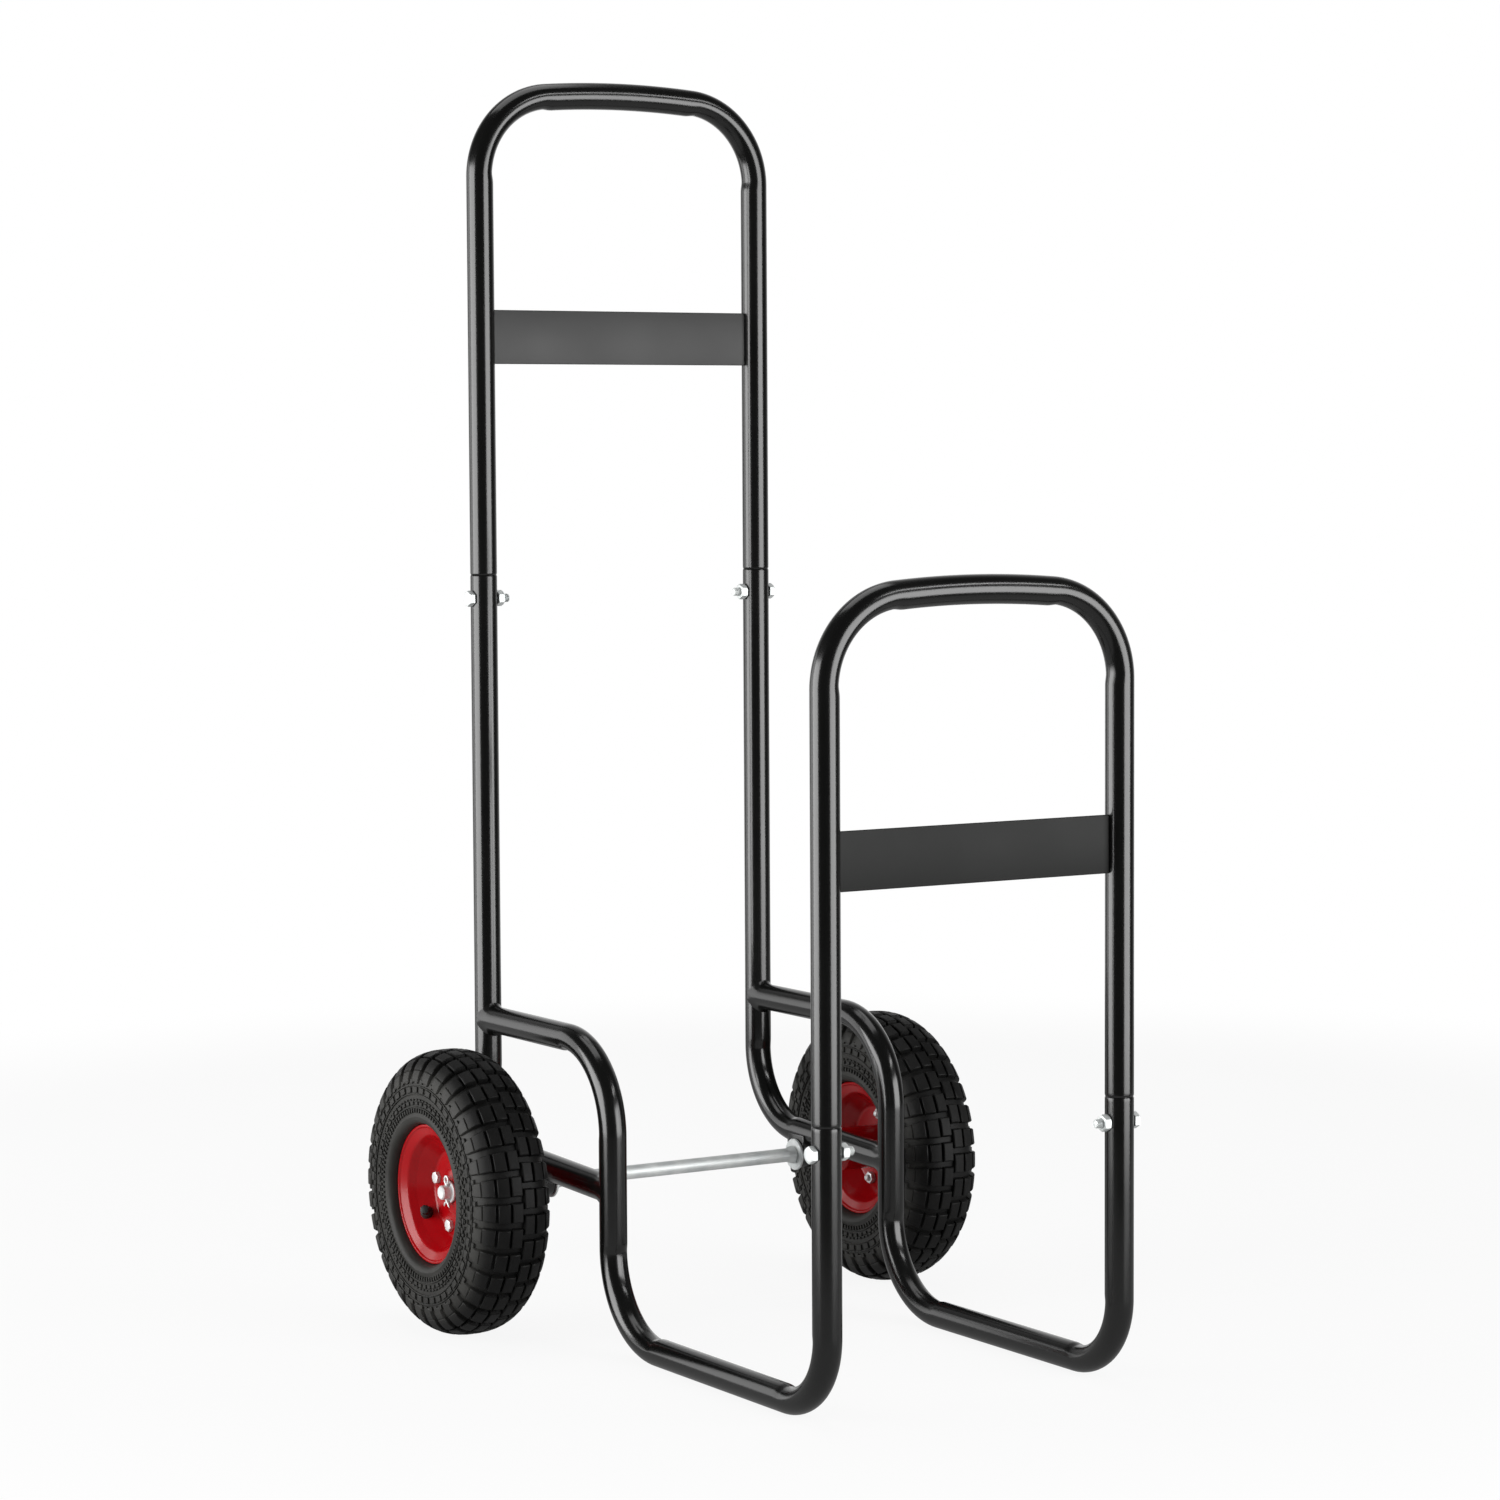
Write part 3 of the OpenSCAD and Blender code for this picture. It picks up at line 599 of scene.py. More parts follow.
turns = [EYE_GAP + 2 * (math.pi - EYE_GAP) * k / EYE_STEPS for k in range(EYE_STEPS + 1)]
eye = [(EYE_HALF_W * math.sin(a), PIN_TOP + EYE_R - EYE_R * math.cos(a)) for a in turns]
leg = [(PIN_HALF + LEG_SPREAD * t, PIN_FOOT - LEG_SPREAD * t * t) for t in (1, 0.75, 0.5, 0.25, 0)]
leg.append((PIN_HALF, PIN_TOP))
pin_wire = leg + eye + [(-x, z) for x, z in reversed(leg)]
build = bmesh.new()
for side in (-1, 1):
    build.from_mesh(wire_mesh(pin_wire, pin_plane(side)))
pins = piece_of("split_pin_wires", mesh_of(build), zinc)
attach(pins, "frame")
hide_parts("split_pins")


# Frame bolts and nuts
# M8 hexagon bolts through the tube and the hoop's foot inside it, heads outside
# and nuts inside, with a few turns of thread standing out. All zinc plated.
HEX_STEPS = 24
HEX_FACE = 0.475
HEX_INNER = 0.3
HEX_CHAMFER = math.radians(30)
THREAD_DEPTH = 0.55
THREAD_STEPS = 8
THREAD_RIDGE = 0.9
THREAD_TIP = 0.8
SHANK_START = 0.0005
SHANK_OVERLAP = 0.0002
NUT_MOUTH = 0.0004
NUT_MOUTH_LEN = 0.0006
NUT_MOUTH_START = 0.0001
SHARP_HEX = 35


def hexagon_rings(across, depth, lift):
    """Rings [x, radius] of a hexagon's chamfered face: its corners, their cut and the face."""
    face_r = across * HEX_FACE
    corner, cut = [], []
    for k in range(HEX_STEPS):
        inside = (2 * math.pi * k / HEX_STEPS + math.pi / 6) % (math.pi / 3) - math.pi / 6
        radius = across / 2 / math.cos(inside)
        corner.append((lift, radius))
        cut.append((lift + depth - (radius - face_r) * math.tan(HEX_CHAMFER), radius))
    return corner, cut, [(lift + depth, face_r)] * HEX_STEPS


def thread_rings(radius, pitch, start, end):
    """Rings of a threaded end from x = start down to x = end, with a chamfered tip."""
    depth = pitch * THREAD_DEPTH
    steps = int(abs(end - start) / pitch * THREAD_STEPS)
    rings = []
    for j in range(steps + 1):
        x = start + (end - start) * j / steps
        tip = min(1, abs(x - end) / (pitch * THREAD_TIP))
        ring = []
        for k in range(HEX_STEPS):
            ridge = abs(2 * (((start - x) / pitch - k / HEX_STEPS) % 1) - 1)
            ring.append((x, radius - depth * (1 - ridge) * THREAD_RIDGE - (1 - tip) * depth))
        rings.append(ring)
    return rings


def hex_bolt(across, head, thread, pitch, seat, tail_from, tail_to):
    """A bolt along X with its head outward from x = seat, its shank to tail_to."""
    build = bmesh.new()
    rings = [*hexagon_rings(across, head, seat), [(seat + head, across * HEX_INNER)] * HEX_STEPS]
    skin(build, [around(ring) for ring in rings], caps=True)
    rings = [[(x, thread)] * HEX_STEPS for x in (seat + SHANK_START, tail_from + SHANK_OVERLAP)]
    rings += thread_rings(thread, pitch, tail_from, tail_to)
    skin(build, [around(ring) for ring in rings], caps=True)
    return mesh_of(build)


def hex_nut(across, height, bore, seat):
    """A nut along X, from x = seat inward, chamfered on both faces."""
    _, cut, face = hexagon_rings(across, height / 2, 0)
    middle, far = seat - height / 2, seat - height
    rings = [[(middle - x, radius) for x, radius in ring] for ring in (face, cut)]
    rings += [[(middle + x, radius) for x, radius in ring] for ring in (cut, face)]
    rings += [[point] * HEX_STEPS for point in (
        (seat - NUT_MOUTH_START, bore + NUT_MOUTH), (seat - NUT_MOUTH_LEN, bore),
        (far + NUT_MOUTH_LEN, bore), (far, bore + NUT_MOUTH))]
    build = bmesh.new()
    skin(build, [around(ring) for ring in rings + rings[:1]])
    return mesh_of(build)


def worked_out(tree, operation, *values):
    """The result of a Math node on sockets and values."""
    return node_in(tree, "ShaderNodeMath", dict(enumerate(values)), operation=operation).outputs[0]


def growing_tree(name, **sizes):
    """A Geometry Nodes tree that is given a mesh, named sizes and a finish, and their sockets."""
    tree = bpy.data.node_groups.new(name, "GeometryNodeTree")
    for title, kind in {"Geometry": "Geometry", **sizes, "Finish": "Material"}.items():
        tree.interface.new_socket(title.replace("_", " "), in_out="INPUT", socket_type="NodeSocket" + kind)
    tree.interface.new_socket("Geometry", in_out="OUTPUT", socket_type="NodeSocketGeometry")
    return tree, node_in(tree, "NodeGroupInput").outputs


def copies_on(tree, given, line, turn):
    """The end of a tree: its mesh on each point of a line, turned, made real and given its finish."""
    copies = node_in(tree, "GeometryNodeInstanceOnPoints", {
        "Points": line.outputs["Mesh"], "Instance": given["Geometry"], "Rotation": turn.outputs[0]})
    real = node_in(tree, "GeometryNodeRealizeInstances", {"Geometry": copies.outputs["Instances"]})
    coat = node_in(tree, "GeometryNodeSetMaterial", {
        "Geometry": real.outputs["Geometry"], "Material": given["Finish"]})
    node_in(tree, "NodeGroupOutput", {"Geometry": coat.outputs["Geometry"]})


def across_pair():
    """Geometry Nodes: puts a piece drawn at the right-hand leg on both legs, turned about Z."""
    tree, given = growing_tree("pair_across_legs", Half_Spacing="Float", Along="Float", Height="Float")
    number = node_in(tree, "GeometryNodeInputIndex").outputs[0]
    turn = node_in(tree, "ShaderNodeCombineXYZ", {"Z": worked_out(tree, "MULTIPLY", number, math.pi)})
    right_leg = node_in(tree, "ShaderNodeCombineXYZ", {
        "X": given["Half Spacing"], "Y": given["Along"], "Z": given["Height"]})
    to_left = node_in(tree, "ShaderNodeCombineXYZ", {
        "X": worked_out(tree, "MULTIPLY", given["Half Spacing"], -2)})
    line = node_in(tree, "GeometryNodeMeshLine", {
        "Count": 2, "Start Location": right_leg.outputs[0], "Offset": to_left.outputs[0]})
    copies_on(tree, given, line, turn)
    return tree


def grown(name, mesh, tree, material, smooth=40, **sizes):
    """The plain mesh piece that a Geometry Nodes tree makes from a mesh, with named sizes."""
    seed = placed(name + "_seed", mesh)
    modifier = seed.modifiers.new("grow", "NODES")
    modifier.node_group = tree
    values = {"Finish": material, **sizes}
    for socket in tree.interface.items_tree:
        title = socket.name.replace(" ", "_")
        if socket.in_out == "INPUT" and title in values:
            modifier[socket.identifier] = values[title]
    graph = bpy.context.evaluated_depsgraph_get()
    made = bpy.data.meshes.new_from_object(seed.evaluated_get(graph), depsgraph=graph)
    seed.modifiers.clear()
    bpy.data.objects.remove(seed)
    return piece_of(name, made, material, smooth)


SEAT_GAP = 0.00005
SEAT = TUBE_R + SEAT_GAP
BOLT_DROP = 0.022
pair_tree = across_pair()
for name, y, seam in (("handle", REAR_Y, HANDLE_SEAM), ("front", FRONT_Y, FRONT_SEAM)):
    place = dict(Half_Spacing=LEG_X, Along=y, Height=seam - BOLT_DROP)
    bolt = hex_bolt(across=0.013, head=0.0053, thread=0.004, pitch=0.00125, seat=SEAT,
                    tail_from=-SEAT - 0.006, tail_to=-SEAT - 0.013)
    nut = hex_nut(across=0.013, height=0.0065, bore=0.00405, seat=-SEAT)
    for mesh, part in ((bolt, "bolts"), (nut, "nuts")):
        obj = grown(f"{name}_leg_{part}", mesh, pair_tree, zinc, SHARP_HEX, **place)
        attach(obj, "frame")
        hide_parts(f"{name}_{part}")


# Tyres
# Moulded black rubber: a smooth carcass, bars of blocks across each half of the
# tread, half a pitch apart, and rings of raised marks round the sidewalls.
tyre_low, tyre_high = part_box("right_tyre")
WHEEL_X = (tyre_low.x + tyre_high.x) / 2
TYRE_R = (tyre_high.z - tyre_low.z) / 2
TYRE_HALF_W = (tyre_high.x - tyre_low.x) / 2
BEAD_R = 0.051
SECTION_MID = (TYRE_R + BEAD_R) / 2
SECTION_HALF = (TYRE_R - BEAD_R) / 2
SECTION_STEPS = 1800
TREAD_POWER = 2 / 2.6
BEAD_POWER = 2 / 5.5
PITCHES = 34
TREAD_DEPTH = 0.0044
SIDE_DEPTH = 0.0017
SHOULDER_START = 0.034
SHOULDER_END = 0.0520

rubber = finish_of("tyre_rubber", (0.0180, 0.0177, 0.0162), (0.0350, 0.0344, 0.0312), (0.44, 0.60),
                   (35, 1500), 0.00006, IOR=1.46)

# Painted shade: the tread's colour is multiplied darker than the sidewall's, for the light that reaches
# the sidewall and not the tread.
# Its shine drops too. Both change between two distances from the axle.
TREAD_SPAN = (0.106, 0.122)
TREAD_SHADE_COLOUR = (0.22, 0.22, 0.235, 1)
SHINE = (0.26, 0.18)
tree = rubber.node_tree
surface = next(node for node in tree.nodes if node.type == "BSDF_PRINCIPLED")
tint = surface.inputs["Base Color"].links[0].from_socket
place = node_in(tree, "ShaderNodeTexCoord").outputs["Object"]
spoke = node_in(tree, "ShaderNodeVectorMath", {0: place, 1: (0, 1, 1), 2: (0, -AXLE_Y, -AXLE_Z)},
                operation="MULTIPLY_ADD")
away = node_in(tree, "ShaderNodeVectorMath", {0: spoke.outputs["Vector"]}, operation="LENGTH")
tread_shade_mask = spread(tree, away.outputs["Value"], (0, 1), TREAD_SPAN, interpolation_type="SMOOTHSTEP")
# painted shade: darkens the tread's colour against the sidewall's
tread_painted_shade = node_in(tree, "ShaderNodeMix", {"Factor": tread_shade_mask, 6: tint, 7: TREAD_SHADE_COLOUR},
                     data_type="RGBA", blend_type="MULTIPLY")
surface.inputs["Specular IOR Level"].default_value = sum(SHINE) / 2
tree.links.new(tread_painted_shade.outputs[2], surface.inputs["Base Color"])
tree.links.new(spread(tree, tread_shade_mask, SHINE), surface.inputs["Specular IOR Level"])

# The tyre's section from the middle of the tread to the bead, as [radius, x],
# and the distance of each point over it
outline = [(TYRE_R, 0.0)]
for k in range(SECTION_STEPS):
    a = math.pi * (k + 0.5) / SECTION_STEPS
    c, s = math.cos(a), math.sin(a)
    power = TREAD_POWER if c > 0 else BEAD_POWER
    outline.append((SECTION_MID + SECTION_HALF * math.copysign(abs(c) ** power, c),
                    TYRE_HALF_W * s ** power))
reach = [0.0]
for a, b in zip(outline, outline[1:]):
    reach.append(reach[-1] + math.hypot(b[0] - a[0], b[1] - a[1]))

# How many points each way the section's slope is taken over
SPREAD = 8


def on_tread(s, lift):
    """[x, radius] at distance s over the tyre's section from the middle, lift above its surface."""
    high = min(bisect.bisect_right(reach, abs(s)), len(reach) - 1)
    low = high - 1
    t = (abs(s) - reach[low]) / (reach[high] - reach[low])
    r = outline[low][0] + (outline[high][0] - outline[low][0]) * t
    x = outline[low][1] + (outline[high][1] - outline[low][1]) * t
    i, j = max(low - SPREAD, 0), min(high + SPREAD, len(outline) - 1)
    dr, dx = outline[j][0] - outline[i][0], outline[j][1] - outline[i][1]
    size = math.hypot(dr, dx)
    if low <= SPREAD:
        dr, dx, size = 0, 1, 1
    return math.copysign(1, s) * (x - dr / size * lift), r + dx / size * lift


def carcass_depth(s):
    """How far the carcass lies below the tops of the blocks and marks on it."""
    t = min(max((abs(s) - SHOULDER_START) / (SHOULDER_END - SHOULDER_START), 0), 1)
    return TREAD_DEPTH + (SIDE_DEPTH - TREAD_DEPTH) * t


# The section's sides below the sidewall and its inner face, as [x, radius]
BEAD_START = 0.0725
BEAD_SIDE = [(0.0374, 0.0710), (0.0370, 0.0692), (0.0360, 0.0673), (0.0344, 0.0658),
             (0.0324, 0.0648), (0.0300, 0.0643), (0.0266, 0.0641), (0.0248, 0.0628),
             (0.0236, 0.0595), (0.0214, 0.0560), (0.0186, 0.0533), (0.0162, 0.0518)]
INNER_SIDE = [(0.0152, 0.0535), (0.0170, 0.0665), (0.0255, 0.0682), (0.0295, 0.0730),
              (0.0309, 0.0830), (0.0309, 0.0960), (0.0288, 0.1070), (0.0225, 0.1150), (0.0115, 0.1195)]
INNER_CROWN = (0, 0.1203)
SIDEWALL_START = 0.045
TREAD_STEP, SIDE_STEP = 0.002, 0.0015


def side_reach(radius):
    """Distance over the section at which the sidewall comes down to a radius."""
    return next(s for (r, x), s in zip(outline, reach) if s > SIDEWALL_START and r < radius)


def carcass(side):
    half = []
    s = 0.0
    while s < side_reach(BEAD_START):
        half.append(on_tread(s, -carcass_depth(s)))
        s += TREAD_STEP if s < SHOULDER_START else SIDE_STEP
    half += BEAD_SIDE
    whole = [(-x, r) for x, r in reversed(half[1:])] + half
    whole += INNER_SIDE + [INNER_CROWN] + [(-x, r) for x, r in reversed(INNER_SIDE)]
    return turned_mesh([(side * x, r) for x, r in whole], (0, 0, 0), 6 * PITCHES)


BLOCK_ROOT = 0.0006
END_DRAFT = 0.35
EDGE_DROP = 0.75


def rubber_block(build, u0, u1, s0, s1, top=0.0, draft=0.0011, edge=0.0008, nu=2, ns=2, taper=0.0):
    """One raised block: u along the tread and s over the section, in metres.

    top is its height against the tyre's outline, draft how far its walls run
    out at their foot, and taper how much each end draws in towards s1."""
    us = [u0 - draft, u0] + [u0 + edge + (u1 - u0 - 2 * edge) * k / nu for k in range(nu + 1)]
    us += [u1, u1 + draft]
    out = math.copysign(1, s1 - s0)
    foot = out * draft * END_DRAFT
    rim = out * edge
    ss = [s0 - foot, s0] + [s0 + rim + (s1 - s0 - 2 * rim) * k / ns for k in range(ns + 1)]
    ss += [s1, s1 + foot]
    middle = (u0 + u1) / 2
    grid = []
    for i, u in enumerate(us):
        row = []
        for j, s in enumerate(ss):
            border = min(i, len(us) - 1 - i, j, len(ss) - 1 - j)
            lift = [-carcass_depth(s) - BLOCK_ROOT, top - edge * EDGE_DROP, top][min(border, 2)]
            x, r = on_tread(s, lift)
            drawn = middle + (u - middle) * (1 - taper * (s - s0) / (s1 - s0))
            row.append(build.verts.new((x, r * math.cos(drawn / TYRE_R), r * math.sin(drawn / TYRE_R))))
        grid.append(row)
    for i in range(len(us) - 1):
        for j in range(len(ss) - 1):
            build.faces.new((grid[i][j], grid[i + 1][j], grid[i + 1][j + 1], grid[i][j + 1]))
    loop = grid[0] + [row[-1] for row in grid[1:]] + grid[-1][-2::-1] + [row[0] for row in grid[-2:0:-1]]
    build.faces.new(loop[::-1])


def mirrored(build, side):
    """The finished mesh of one side's wheel from a bmesh drawn for the right one."""
    for v in build.verts:
        v.co.x *= side
    return mesh_of(build)


# The blocks of one bar from the middle of the tread outward: start and end in
# pitches, start and end over the section, taper, and rows of faces
BAR_BLOCKS = ((-0.360, 0.360, 0.0010, 0.0110, 0.00, 2), (-0.340, 0.372, 0.0134, 0.0244, 0.03, 2),
              (-0.352, 0.338, 0.0270, 0.0400, 0.04, 3), (-0.320, 0.318, 0.0404, 0.0515, 0.12, 3))


def tread_pitch(side):
    """One pitch of the tread: a bar of blocks out over each shoulder."""
    pitch = 2 * math.pi * TYRE_R / PITCHES
    build = bmesh.new()
    for hand, at in ((1, 0), (-1, pitch / 2)):
        for u0, u1, s0, s1, taper, ns in BAR_BLOCKS:
            rubber_block(build, at + u0 * pitch, at + u1 * pitch, hand * s0, hand * s1,
                         taper=taper, ns=ns)
    return mirrored(build, side)


def side_mark(side, radius, width, count, share, top):
    """One raised mark on each sidewall, for a ring of count marks at a radius."""
    build = bmesh.new()
    pitch = 2 * math.pi * TYRE_R / count
    s0, s1 = side_reach(radius + width / 2), side_reach(radius - width / 2)
    for hand in (1, -1):
        rubber_block(build, 0, share * pitch, hand * s0, hand * s1, top=top, draft=0.0002,
                     edge=0.00035, nu=1, ns=1)
    return mirrored(build, side)


def round_the_wheel():
    """Geometry Nodes: copies of a mesh round the X axis, moved to the wheel's centre."""
    tree, given = growing_tree("round_the_wheel", Count="Int", Turn="Float", Centre="Vector")
    number = node_in(tree, "GeometryNodeInputIndex").outputs[0]
    share = worked_out(tree, "DIVIDE", number, given["Count"])
    turn = node_in(tree, "ShaderNodeCombineXYZ", {
        "X": worked_out(tree, "MULTIPLY_ADD", share, 2 * math.pi, given["Turn"])})
    line = node_in(tree, "GeometryNodeMeshLine", {
        "Count": given["Count"], "Start Location": given["Centre"], "Offset": (0, 0, 0)})
    copies_on(tree, given, line, turn)
    return tree


wheel_tree = round_the_wheel()

# Rings of marks on the sidewall: radius, width, marks round it, share of the
# ring that they fill, and their height against the tyre's outline
SIDE_RINGS = [(0.1035, 0.0038, 68, 0.45, -0.0001), (0.0996, 0.0008, 102, 1.03, -0.0003),
              (0.0958, 0.0052, 48, 0.62, 0.0), (0.0918, 0.0008, 102, 1.03, -0.0003),
              (0.0882, 0.0040, 85, 0.48, -0.0002), (0.0836, 0.0030, 60, 0.60, -0.0001),
              (0.0800, 0.0008, 102, 1.03, -0.0003), (0.0768, 0.0038, 102, 0.42, -0.0001)]
SHARP_TREAD = 32


def tyre(name, side):
    whole = bmesh.new()

    def add(mesh, count):
        part = grown("part", mesh, wheel_tree, rubber, Count=count, Turn=0.0,
                     Centre=(side * WHEEL_X, AXLE_Y, AXLE_Z))
        whole.from_mesh(part.data)
        bpy.data.objects.remove(part)

    add(carcass(side), 1)
    add(tread_pitch(side), PITCHES)
    for radius, width, count, share, top in SIDE_RINGS:
        add(side_mark(side, radius, width, count, share, top), count)
    mesh = bpy.data.meshes.new("tyre")
    whole.to_mesh(mesh)
    whole.free()
    obj = piece_of(f"{name}_treaded_tyre", mesh, rubber, SHARP_TREAD)
    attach(obj, f"{name}_wheel")
    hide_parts(f"{name}_tyre")


for name, side in SIDES:
    tyre(name, side)


# Rims and hubs
# Each wheel has two pressed steel halves bolted back to back, with rolled lips,
# and a hub tube through the middle whose thin end covers hide the bearings. All
# are in glossy red enamel.
red_paint = finish_of("red_enamel", (0.29, 0.0007, 0.0025), (0.35, 0.0012, 0.004), (0.20, 0.26), (12, 700),
                      0.000003, IOR=1.39)

# Outline of one half, as [distance outward, radius, rounding], from the hub out
# along the inner face and back along the face that shows.
RIM_HALF = [
    (0.0000, 0.02055, 0), (0.0000, 0.0400, 0.004), (0.0140, 0.0505, 0.004), (0.0208, 0.0545, 0.004),
    (0.0245, 0.0615, 0.004), (0.0262, 0.0635, 0.002), (0.0287, 0.0635, 0.0012), (0.0287, 0.0614, 0.0010),
    (0.0272, 0.0602, 0.003), (0.0236, 0.0530, 0.006), (0.0165, 0.0486, 0.012),
    (0.0026, 0.0380, 0.004), (0.0025, 0.02055, 0)]
HUB_TUBE = [
    (-0.0480, 0.0175), (-0.0480, 0.0105), (-0.0481, 0.0105), (-0.0481, 0.0190), (-0.0470, 0.0205),
    (0.0050, 0.0205), (0.0061, 0.0190), (0.0061, 0.0105), (0.0060, 0.0105), (0.0060, 0.0175)]
RIM_SIDES = 160
HUB_SIDES = 96
SHARP_LIP = 50


def filleted(corners, steps=8, share=0.48):
    """A closed outline of [x, radius, rounding] corners, rounded over a share of each side at most."""
    out = []
    for i, (_, _, radius) in enumerate(corners):
        before, here, after = (Vector(corners[(i + d) % len(corners)][:2]) for d in (-1, 0, 1))
        if radius == 0:
            out.append(tuple(here))
            continue
        a, b = (before - here).normalized(), (after - here).normalized()
        longest = share * min((before - here).length, (after - here).length)
        cut = min(radius / math.tan(a.angle(b) / 2), longest)
        start, end = here + a * cut, here + b * cut
        for k in range(steps + 1):
            t = k / steps
            out.append(tuple(start * (1 - t) ** 2 + here * 2 * t * (1 - t) + end * t * t))
    return out


def red_piece(name, side, part, node, outline, sides):
    """One enamelled piece, turned about the axle from an outline of [distance outward, radius]."""
    profile = [(side * x, radius) for x, radius in outline]
    mesh = turned_mesh(profile, (side * WHEEL_X, AXLE_Y, AXLE_Z), sides)
    obj = piece_of(f"{name}_{part}", mesh, red_paint, SHARP_LIP)
    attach(obj, f"{name}_wheel")
    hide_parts(f"{name}_{node}")


outer_half = filleted(RIM_HALF)
inner_half = [(-x, radius) for x, radius in outer_half]
for name, side in SIDES:
    red_piece(name, side, "outer_rim_half", "rim_outer", outer_half, RIM_SIDES)
    red_piece(name, side, "inner_rim_half", "rim_inner", inner_half, RIM_SIDES)
    red_piece(name, side, "hub_tube", "hub", HUB_TUBE, HUB_SIDES)


# Rim bolts and nuts
# Four M6 hexagon bolts hold the halves of each rim together, with their heads
# in the outer dish and their nuts in the inner one. Zinc plated.
RIM_CIRCLE = 0.0335
RIM_TURN = math.radians(14)
for name, side in SIDES:
    bolt = hex_bolt(across=0.010, head=0.004, thread=0.003, pitch=0.001, seat=0.0025,
                    tail_from=-0.0072, tail_to=-0.0105)
    nut = hex_nut(across=0.010, height=0.005, bore=0.00305, seat=-0.0025)
    for mesh, part in ((bolt, "bolts"), (nut, "nuts")):
        for v in mesh.vertices:
            v.co = (side * v.co.x, side * v.co.y + RIM_CIRCLE, v.co.z)
        obj = grown(f"{name}_rim_hex_{part}", mesh, wheel_tree, zinc, SHARP_HEX, Count=4, Turn=RIM_TURN,
                    Centre=(side * WHEEL_X, AXLE_Y, AXLE_Z))
        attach(obj, f"{name}_wheel")
        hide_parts(f"{name}_rim_{part}")


# Valves
# A rubber-covered stem stands square on the slope of each outer rim half, with
# a ribbed plastic cap on its end.
VALVE_TURN = math.radians(-33)
VALVE_SIDES = 48
VALVE_RIBS = 8
RIB_DEPTH = 0.05
SLOPE_FOOT = Vector((0, 0.040))
SLOPE = Vector((0.0155, 0.011))
VALVE_PLACE = 0.65
SHARP_VALVE = 50
STEM = [(-0.0010, 0.0059), (0.0010, 0.0063), (0.0022, 0.0062), (0.0040, 0.0058), (0.0068, 0.0054),
        (0.0080, 0.0050), (0.0085, 0.0044)]
CAP = [(0.0085, 0.0040), (0.0087, 0.0045), (0.0130, 0.0045), (0.0141, 0.0041), (0.0145, 0.0032)]
valve_rubber = finish_of("valve_rubber", (0.010, 0.010, 0.010), (0.018, 0.018, 0.018), (0.45, 0.6),
                         (80, 1500), 0.00003)


def valve_piece(side, profile, ribs=0):
    """A turned valve piece from [height, radius] points, with ribs round it."""
    along = SLOPE.normalized()
    up = Vector((along.y, -along.x))
    root = SLOPE_FOOT + SLOPE * VALVE_PLACE
    spin = Matrix.Rotation(VALVE_TURN, 3, "X")
    rings = []
    for height, radius in profile:
        ring = []
        for k in range(VALVE_SIDES):
            angle = 2 * math.pi * k / VALVE_SIDES
            r = radius * (1 - RIB_DEPTH * (1 - math.cos(ribs * angle)))
            flat = root + up * height + along * r * math.cos(angle)
            spot = spin @ Vector((flat.x, flat.y, r * math.sin(angle)))
            ring.append((side * (WHEEL_X + spot.x), AXLE_Y + spot.y, AXLE_Z + spot.z))
        rings.append(ring)
    build = bmesh.new()
    skin(build, rings, caps=True)
    return mesh_of(build)


for name, side in SIDES:
    stem, cap = valve_piece(side, STEM), valve_piece(side, CAP, VALVE_RIBS)
    for mesh, part, what in ((stem, "stem", "rubber"), (cap, "cap", "ribbed")):
        obj = piece_of(f"{name}_{what}_valve_{part}", mesh, valve_rubber, SHARP_VALVE)
        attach(obj, f"{name}_wheel")
        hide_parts(f"{name}_valve_{part}")


# Bearings and inner tubes
# Ground steel races, balls and pressed cages in each hub, and the rubber inner
# tube: the solids of the frame stay, with their own finishes.
ground_steel = finish_of("ground_steel", (0.50, 0.50, 0.51), (0.62, 0.62, 0.63), (0.15, 0.25), (120, 1200),
                         0.00001, Metallic=1.0)
inner_rubber = finish_of("inner_tube_rubber", (0.015, 0.015, 0.015), (0.022, 0.022, 0.022), (0.5, 0.65),
                         (60, 900), 0.00002)
for name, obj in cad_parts.items():
    if obj.hide_render:
        continue
    if "race" in name or name.endswith("balls"):
        coat = ground_steel
    elif "inner_tube" in name:
        coat = inner_rubber
    else:
        coat = zinc
    for spot in obj.material_slots:
        spot.material = coat


# Floor and light
# A white studio floor that runs out into a white background. Soft boxes stand
# left, behind left, right and overhead, with a narrow strip high on the right.
FLOOR_MIDDLE = (0.39, 0.64, -0.0003)
FLOOR_R = 1.75
FLOOR_GLOW = 0.90
FLOOR_SIDES = 96
FADE_FROM, FADE_TO = 0.6, 0.99
middle_x, middle_y, floor_z = FLOOR_MIDDLE
angles = [2 * math.pi * k / FLOOR_SIDES for k in range(FLOOR_SIDES)]
edge = [(middle_x + FLOOR_R * math.cos(a), middle_y + FLOOR_R * math.sin(a), floor_z) for a in angles]
floor_mesh = bpy.data.meshes.new("studio_floor")
floor_mesh.from_pydata(edge, [], [tuple(range(FLOOR_SIDES))])
floor = placed("studio_floor", floor_mesh)


def seen_white(tree):
    """The light path, and its share of rays that see white: camera, glossy and transmission."""
    rays = node_in(tree, "ShaderNodeLightPath").outputs
    seen = worked_out(tree, "MAXIMUM", rays["Is Camera Ray"], rays["Is Glossy Ray"])
    return rays, worked_out(tree, "MAXIMUM", seen, rays["Is Transmission Ray"])


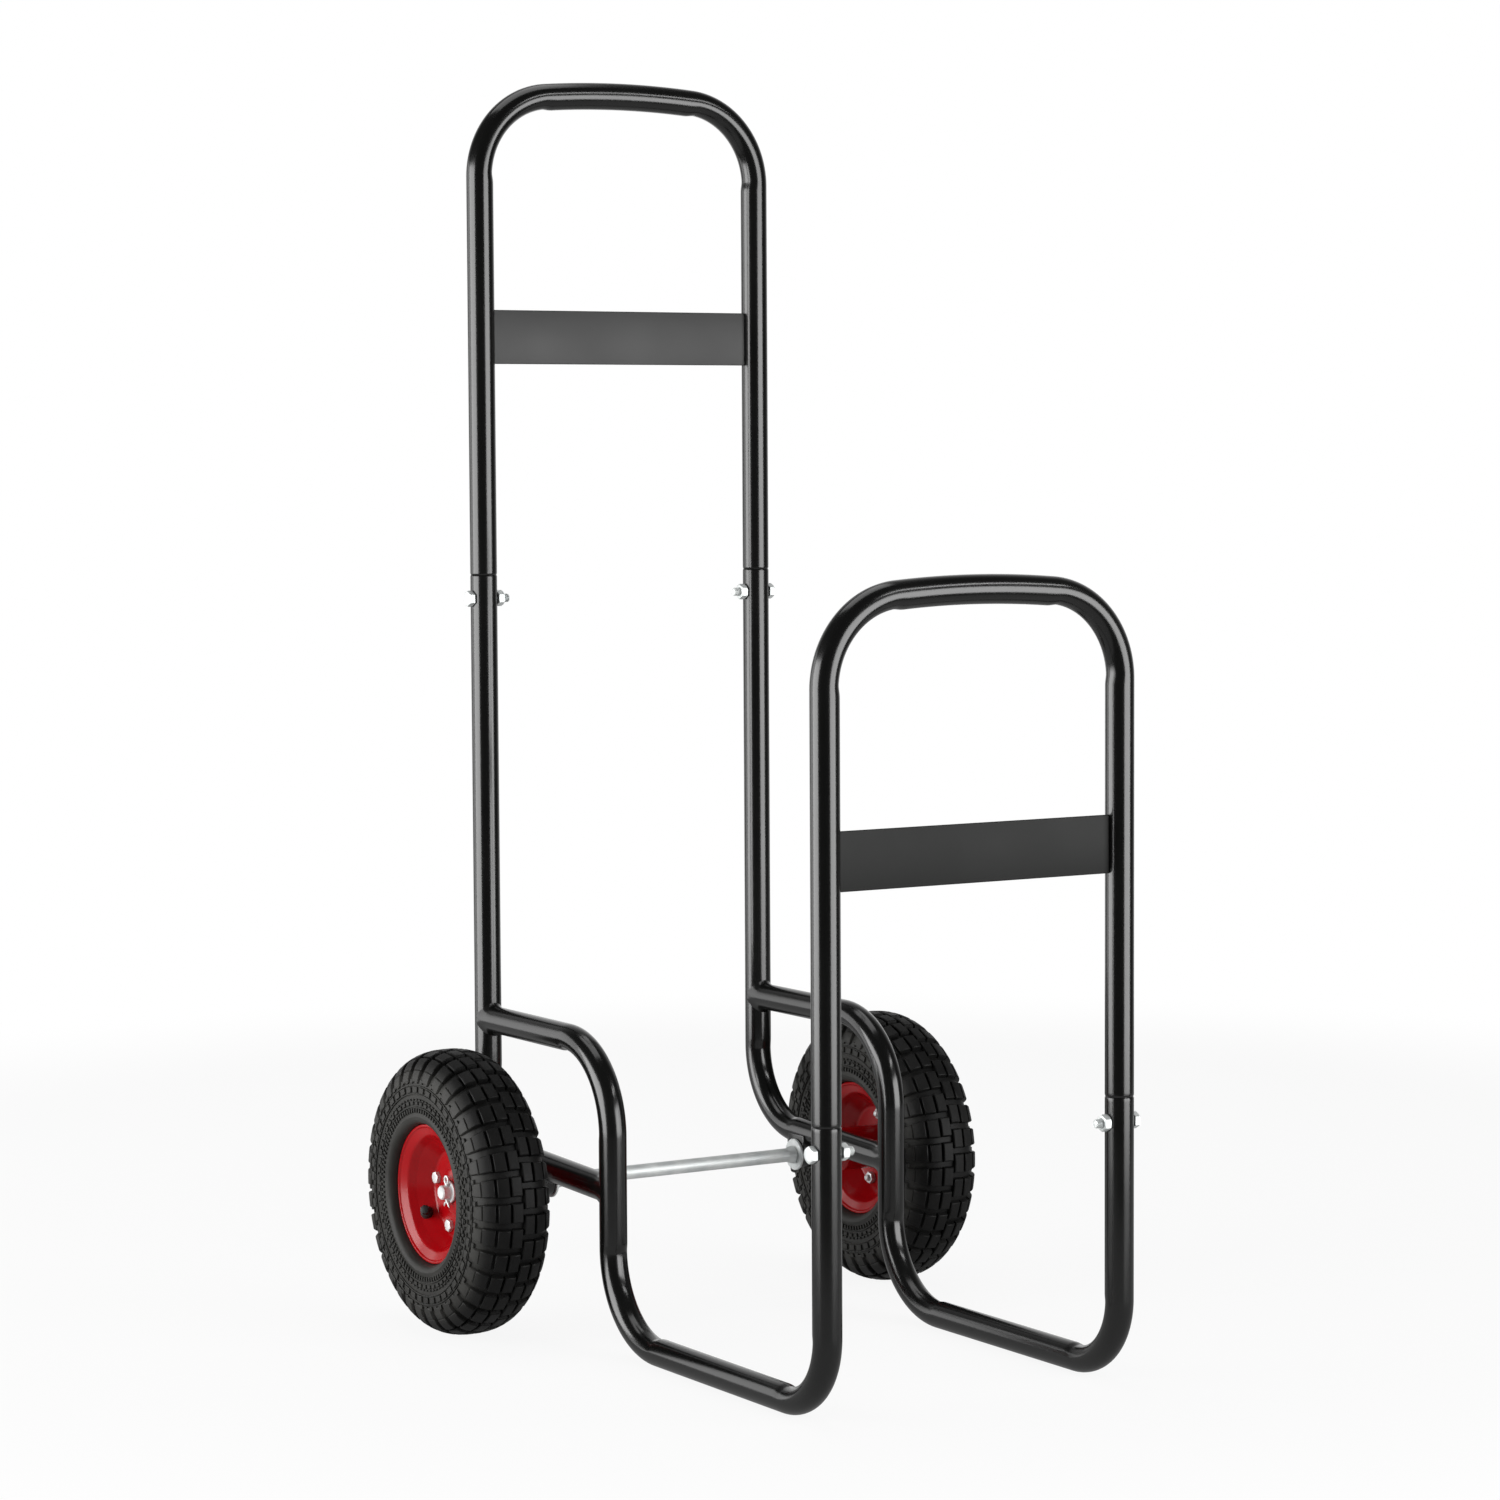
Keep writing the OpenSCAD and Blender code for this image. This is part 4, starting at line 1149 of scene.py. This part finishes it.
white = bpy.data.materials.new("white_floor")
white.use_nodes = True
tree = white.node_tree
tree.nodes.clear()
rays, seen = seen_white(tree)
lit = node_in(tree, "ShaderNodeBsdfDiffuse", {"Color": (0.8, 0.8, 0.8, 1)})
level = spread(tree, rays["Is Camera Ray"], (0.35, 1))
glow = node_in(tree, "ShaderNodeEmission", {"Color": (1, 1, 1, 1), "Strength": level})
place = node_in(tree, "ShaderNodeTexCoord").outputs["Object"]
away = node_in(tree, "ShaderNodeVectorMath", {0: place, 1: FLOOR_MIDDLE}, operation="DISTANCE")
fade = spread(tree, away.outputs["Value"], (FLOOR_GLOW, 1), (FADE_FROM * FLOOR_R, FADE_TO * FLOOR_R),
              interpolation_type="SMOOTHSTEP")
share = worked_out(tree, "MULTIPLY", seen, fade)
both = node_in(tree, "ShaderNodeMixShader", {"Fac": share, 1: lit.outputs[0], 2: glow.outputs[0]})
node_in(tree, "ShaderNodeOutputMaterial", {"Surface": both.outputs[0]})
floor_mesh.materials.append(white)

# The room is white to the camera and dim elsewhere, and whitens in reflections
# towards the middle of the background.
TO_BACKGROUND = (0.52, 0.851, -0.07)
world = bpy.data.worlds.new("studio")
bpy.context.scene.world = world
world.use_nodes = True
tree = world.node_tree
tree.nodes.clear()
rays, seen = seen_white(tree)
heading = node_in(tree, "ShaderNodeTexCoord").outputs["Generated"]
facing = node_in(tree, "ShaderNodeVectorMath", {0: heading, 1: TO_BACKGROUND}, operation="DOT_PRODUCT")
behind = spread(tree, facing.outputs["Value"], (0, 1), (0.25, 0.97))
soft = worked_out(tree, "POWER", behind, 2)
shown = worked_out(tree, "MAXIMUM", worked_out(tree, "MULTIPLY", seen, soft), rays["Is Camera Ray"])
fill = spread(tree, rays["Is Diffuse Ray"], (0.05, 0.22))
room = node_in(tree, "ShaderNodeBackground", {"Color": (1, 1, 1, 1), "Strength": fill})
plain = node_in(tree, "ShaderNodeBackground", {"Color": (1, 1, 1, 1)})
pick = node_in(tree, "ShaderNodeMixShader", {"Fac": shown, 1: room.outputs[0], 2: plain.outputs[0]})
node_in(tree, "ShaderNodeOutputWorld", {"Surface": pick.outputs[0]})


def soft_box(name, place, aim, width, height, radiance):
    """A flat lamp of even brightness, seen in reflections and not by the camera."""
    lamp = bpy.data.lights.new(name, "AREA")
    lamp.shape = "RECTANGLE"
    lamp.size, lamp.size_y = width, height
    lamp.energy = radiance * math.pi * width * height
    obj = placed(name, lamp)
    obj.location = place
    obj.rotation_euler = (Vector(aim) - Vector(place)).to_track_quat("-Z", "Y").to_euler()
    obj.visible_camera = False


soft_box("left_box", (-2.96, 0.86, 0.75), (0, 0.6, 0.6), width=2.9, height=2.1, radiance=6.0)
soft_box("rear_left_box", (-2.00, 2.65, 0.75), (-0.3, 0.2, 0.5), width=1.5, height=2.0, radiance=1.7)
soft_box("right_box", (1.33, -2.59, 0.62), (0, 0, 0.5), width=2.4, height=1.7, radiance=5.8)
soft_box("high_strip", (1.55, -2.25, 2.45), (0, 0, 0.9), width=1.5, height=0.30, radiance=7.5)
soft_box("top_box", (0.0, 0.6, 3.0), (0, 0, 0.3), width=1.8, height=1.8, radiance=1.6)


# Camera
# A long lens a little above the middle of the cart, from its front left.
CAMERA_PLACE = (-1.967, -3.1665, 0.804)
CAMERA_TURN, CAMERA_DROP, CAMERA_ROLL = -31.44, 4.13, -0.32
camera_data = bpy.data.cameras.new("camera")
camera_data.lens = 100.27
camera_data.sensor_width = 36
camera = placed("camera", camera_data)
camera.matrix_world = (Matrix.Translation(CAMERA_PLACE)
                       @ Matrix.Rotation(math.radians(CAMERA_TURN), 4, "Z")
                       @ Matrix.Rotation(math.radians(90 - CAMERA_DROP), 4, "X")
                       @ Matrix.Rotation(math.radians(CAMERA_ROLL), 4, "Z"))
bpy.context.scene.camera = camera
bpy.context.scene.view_settings.view_transform = "Standard"
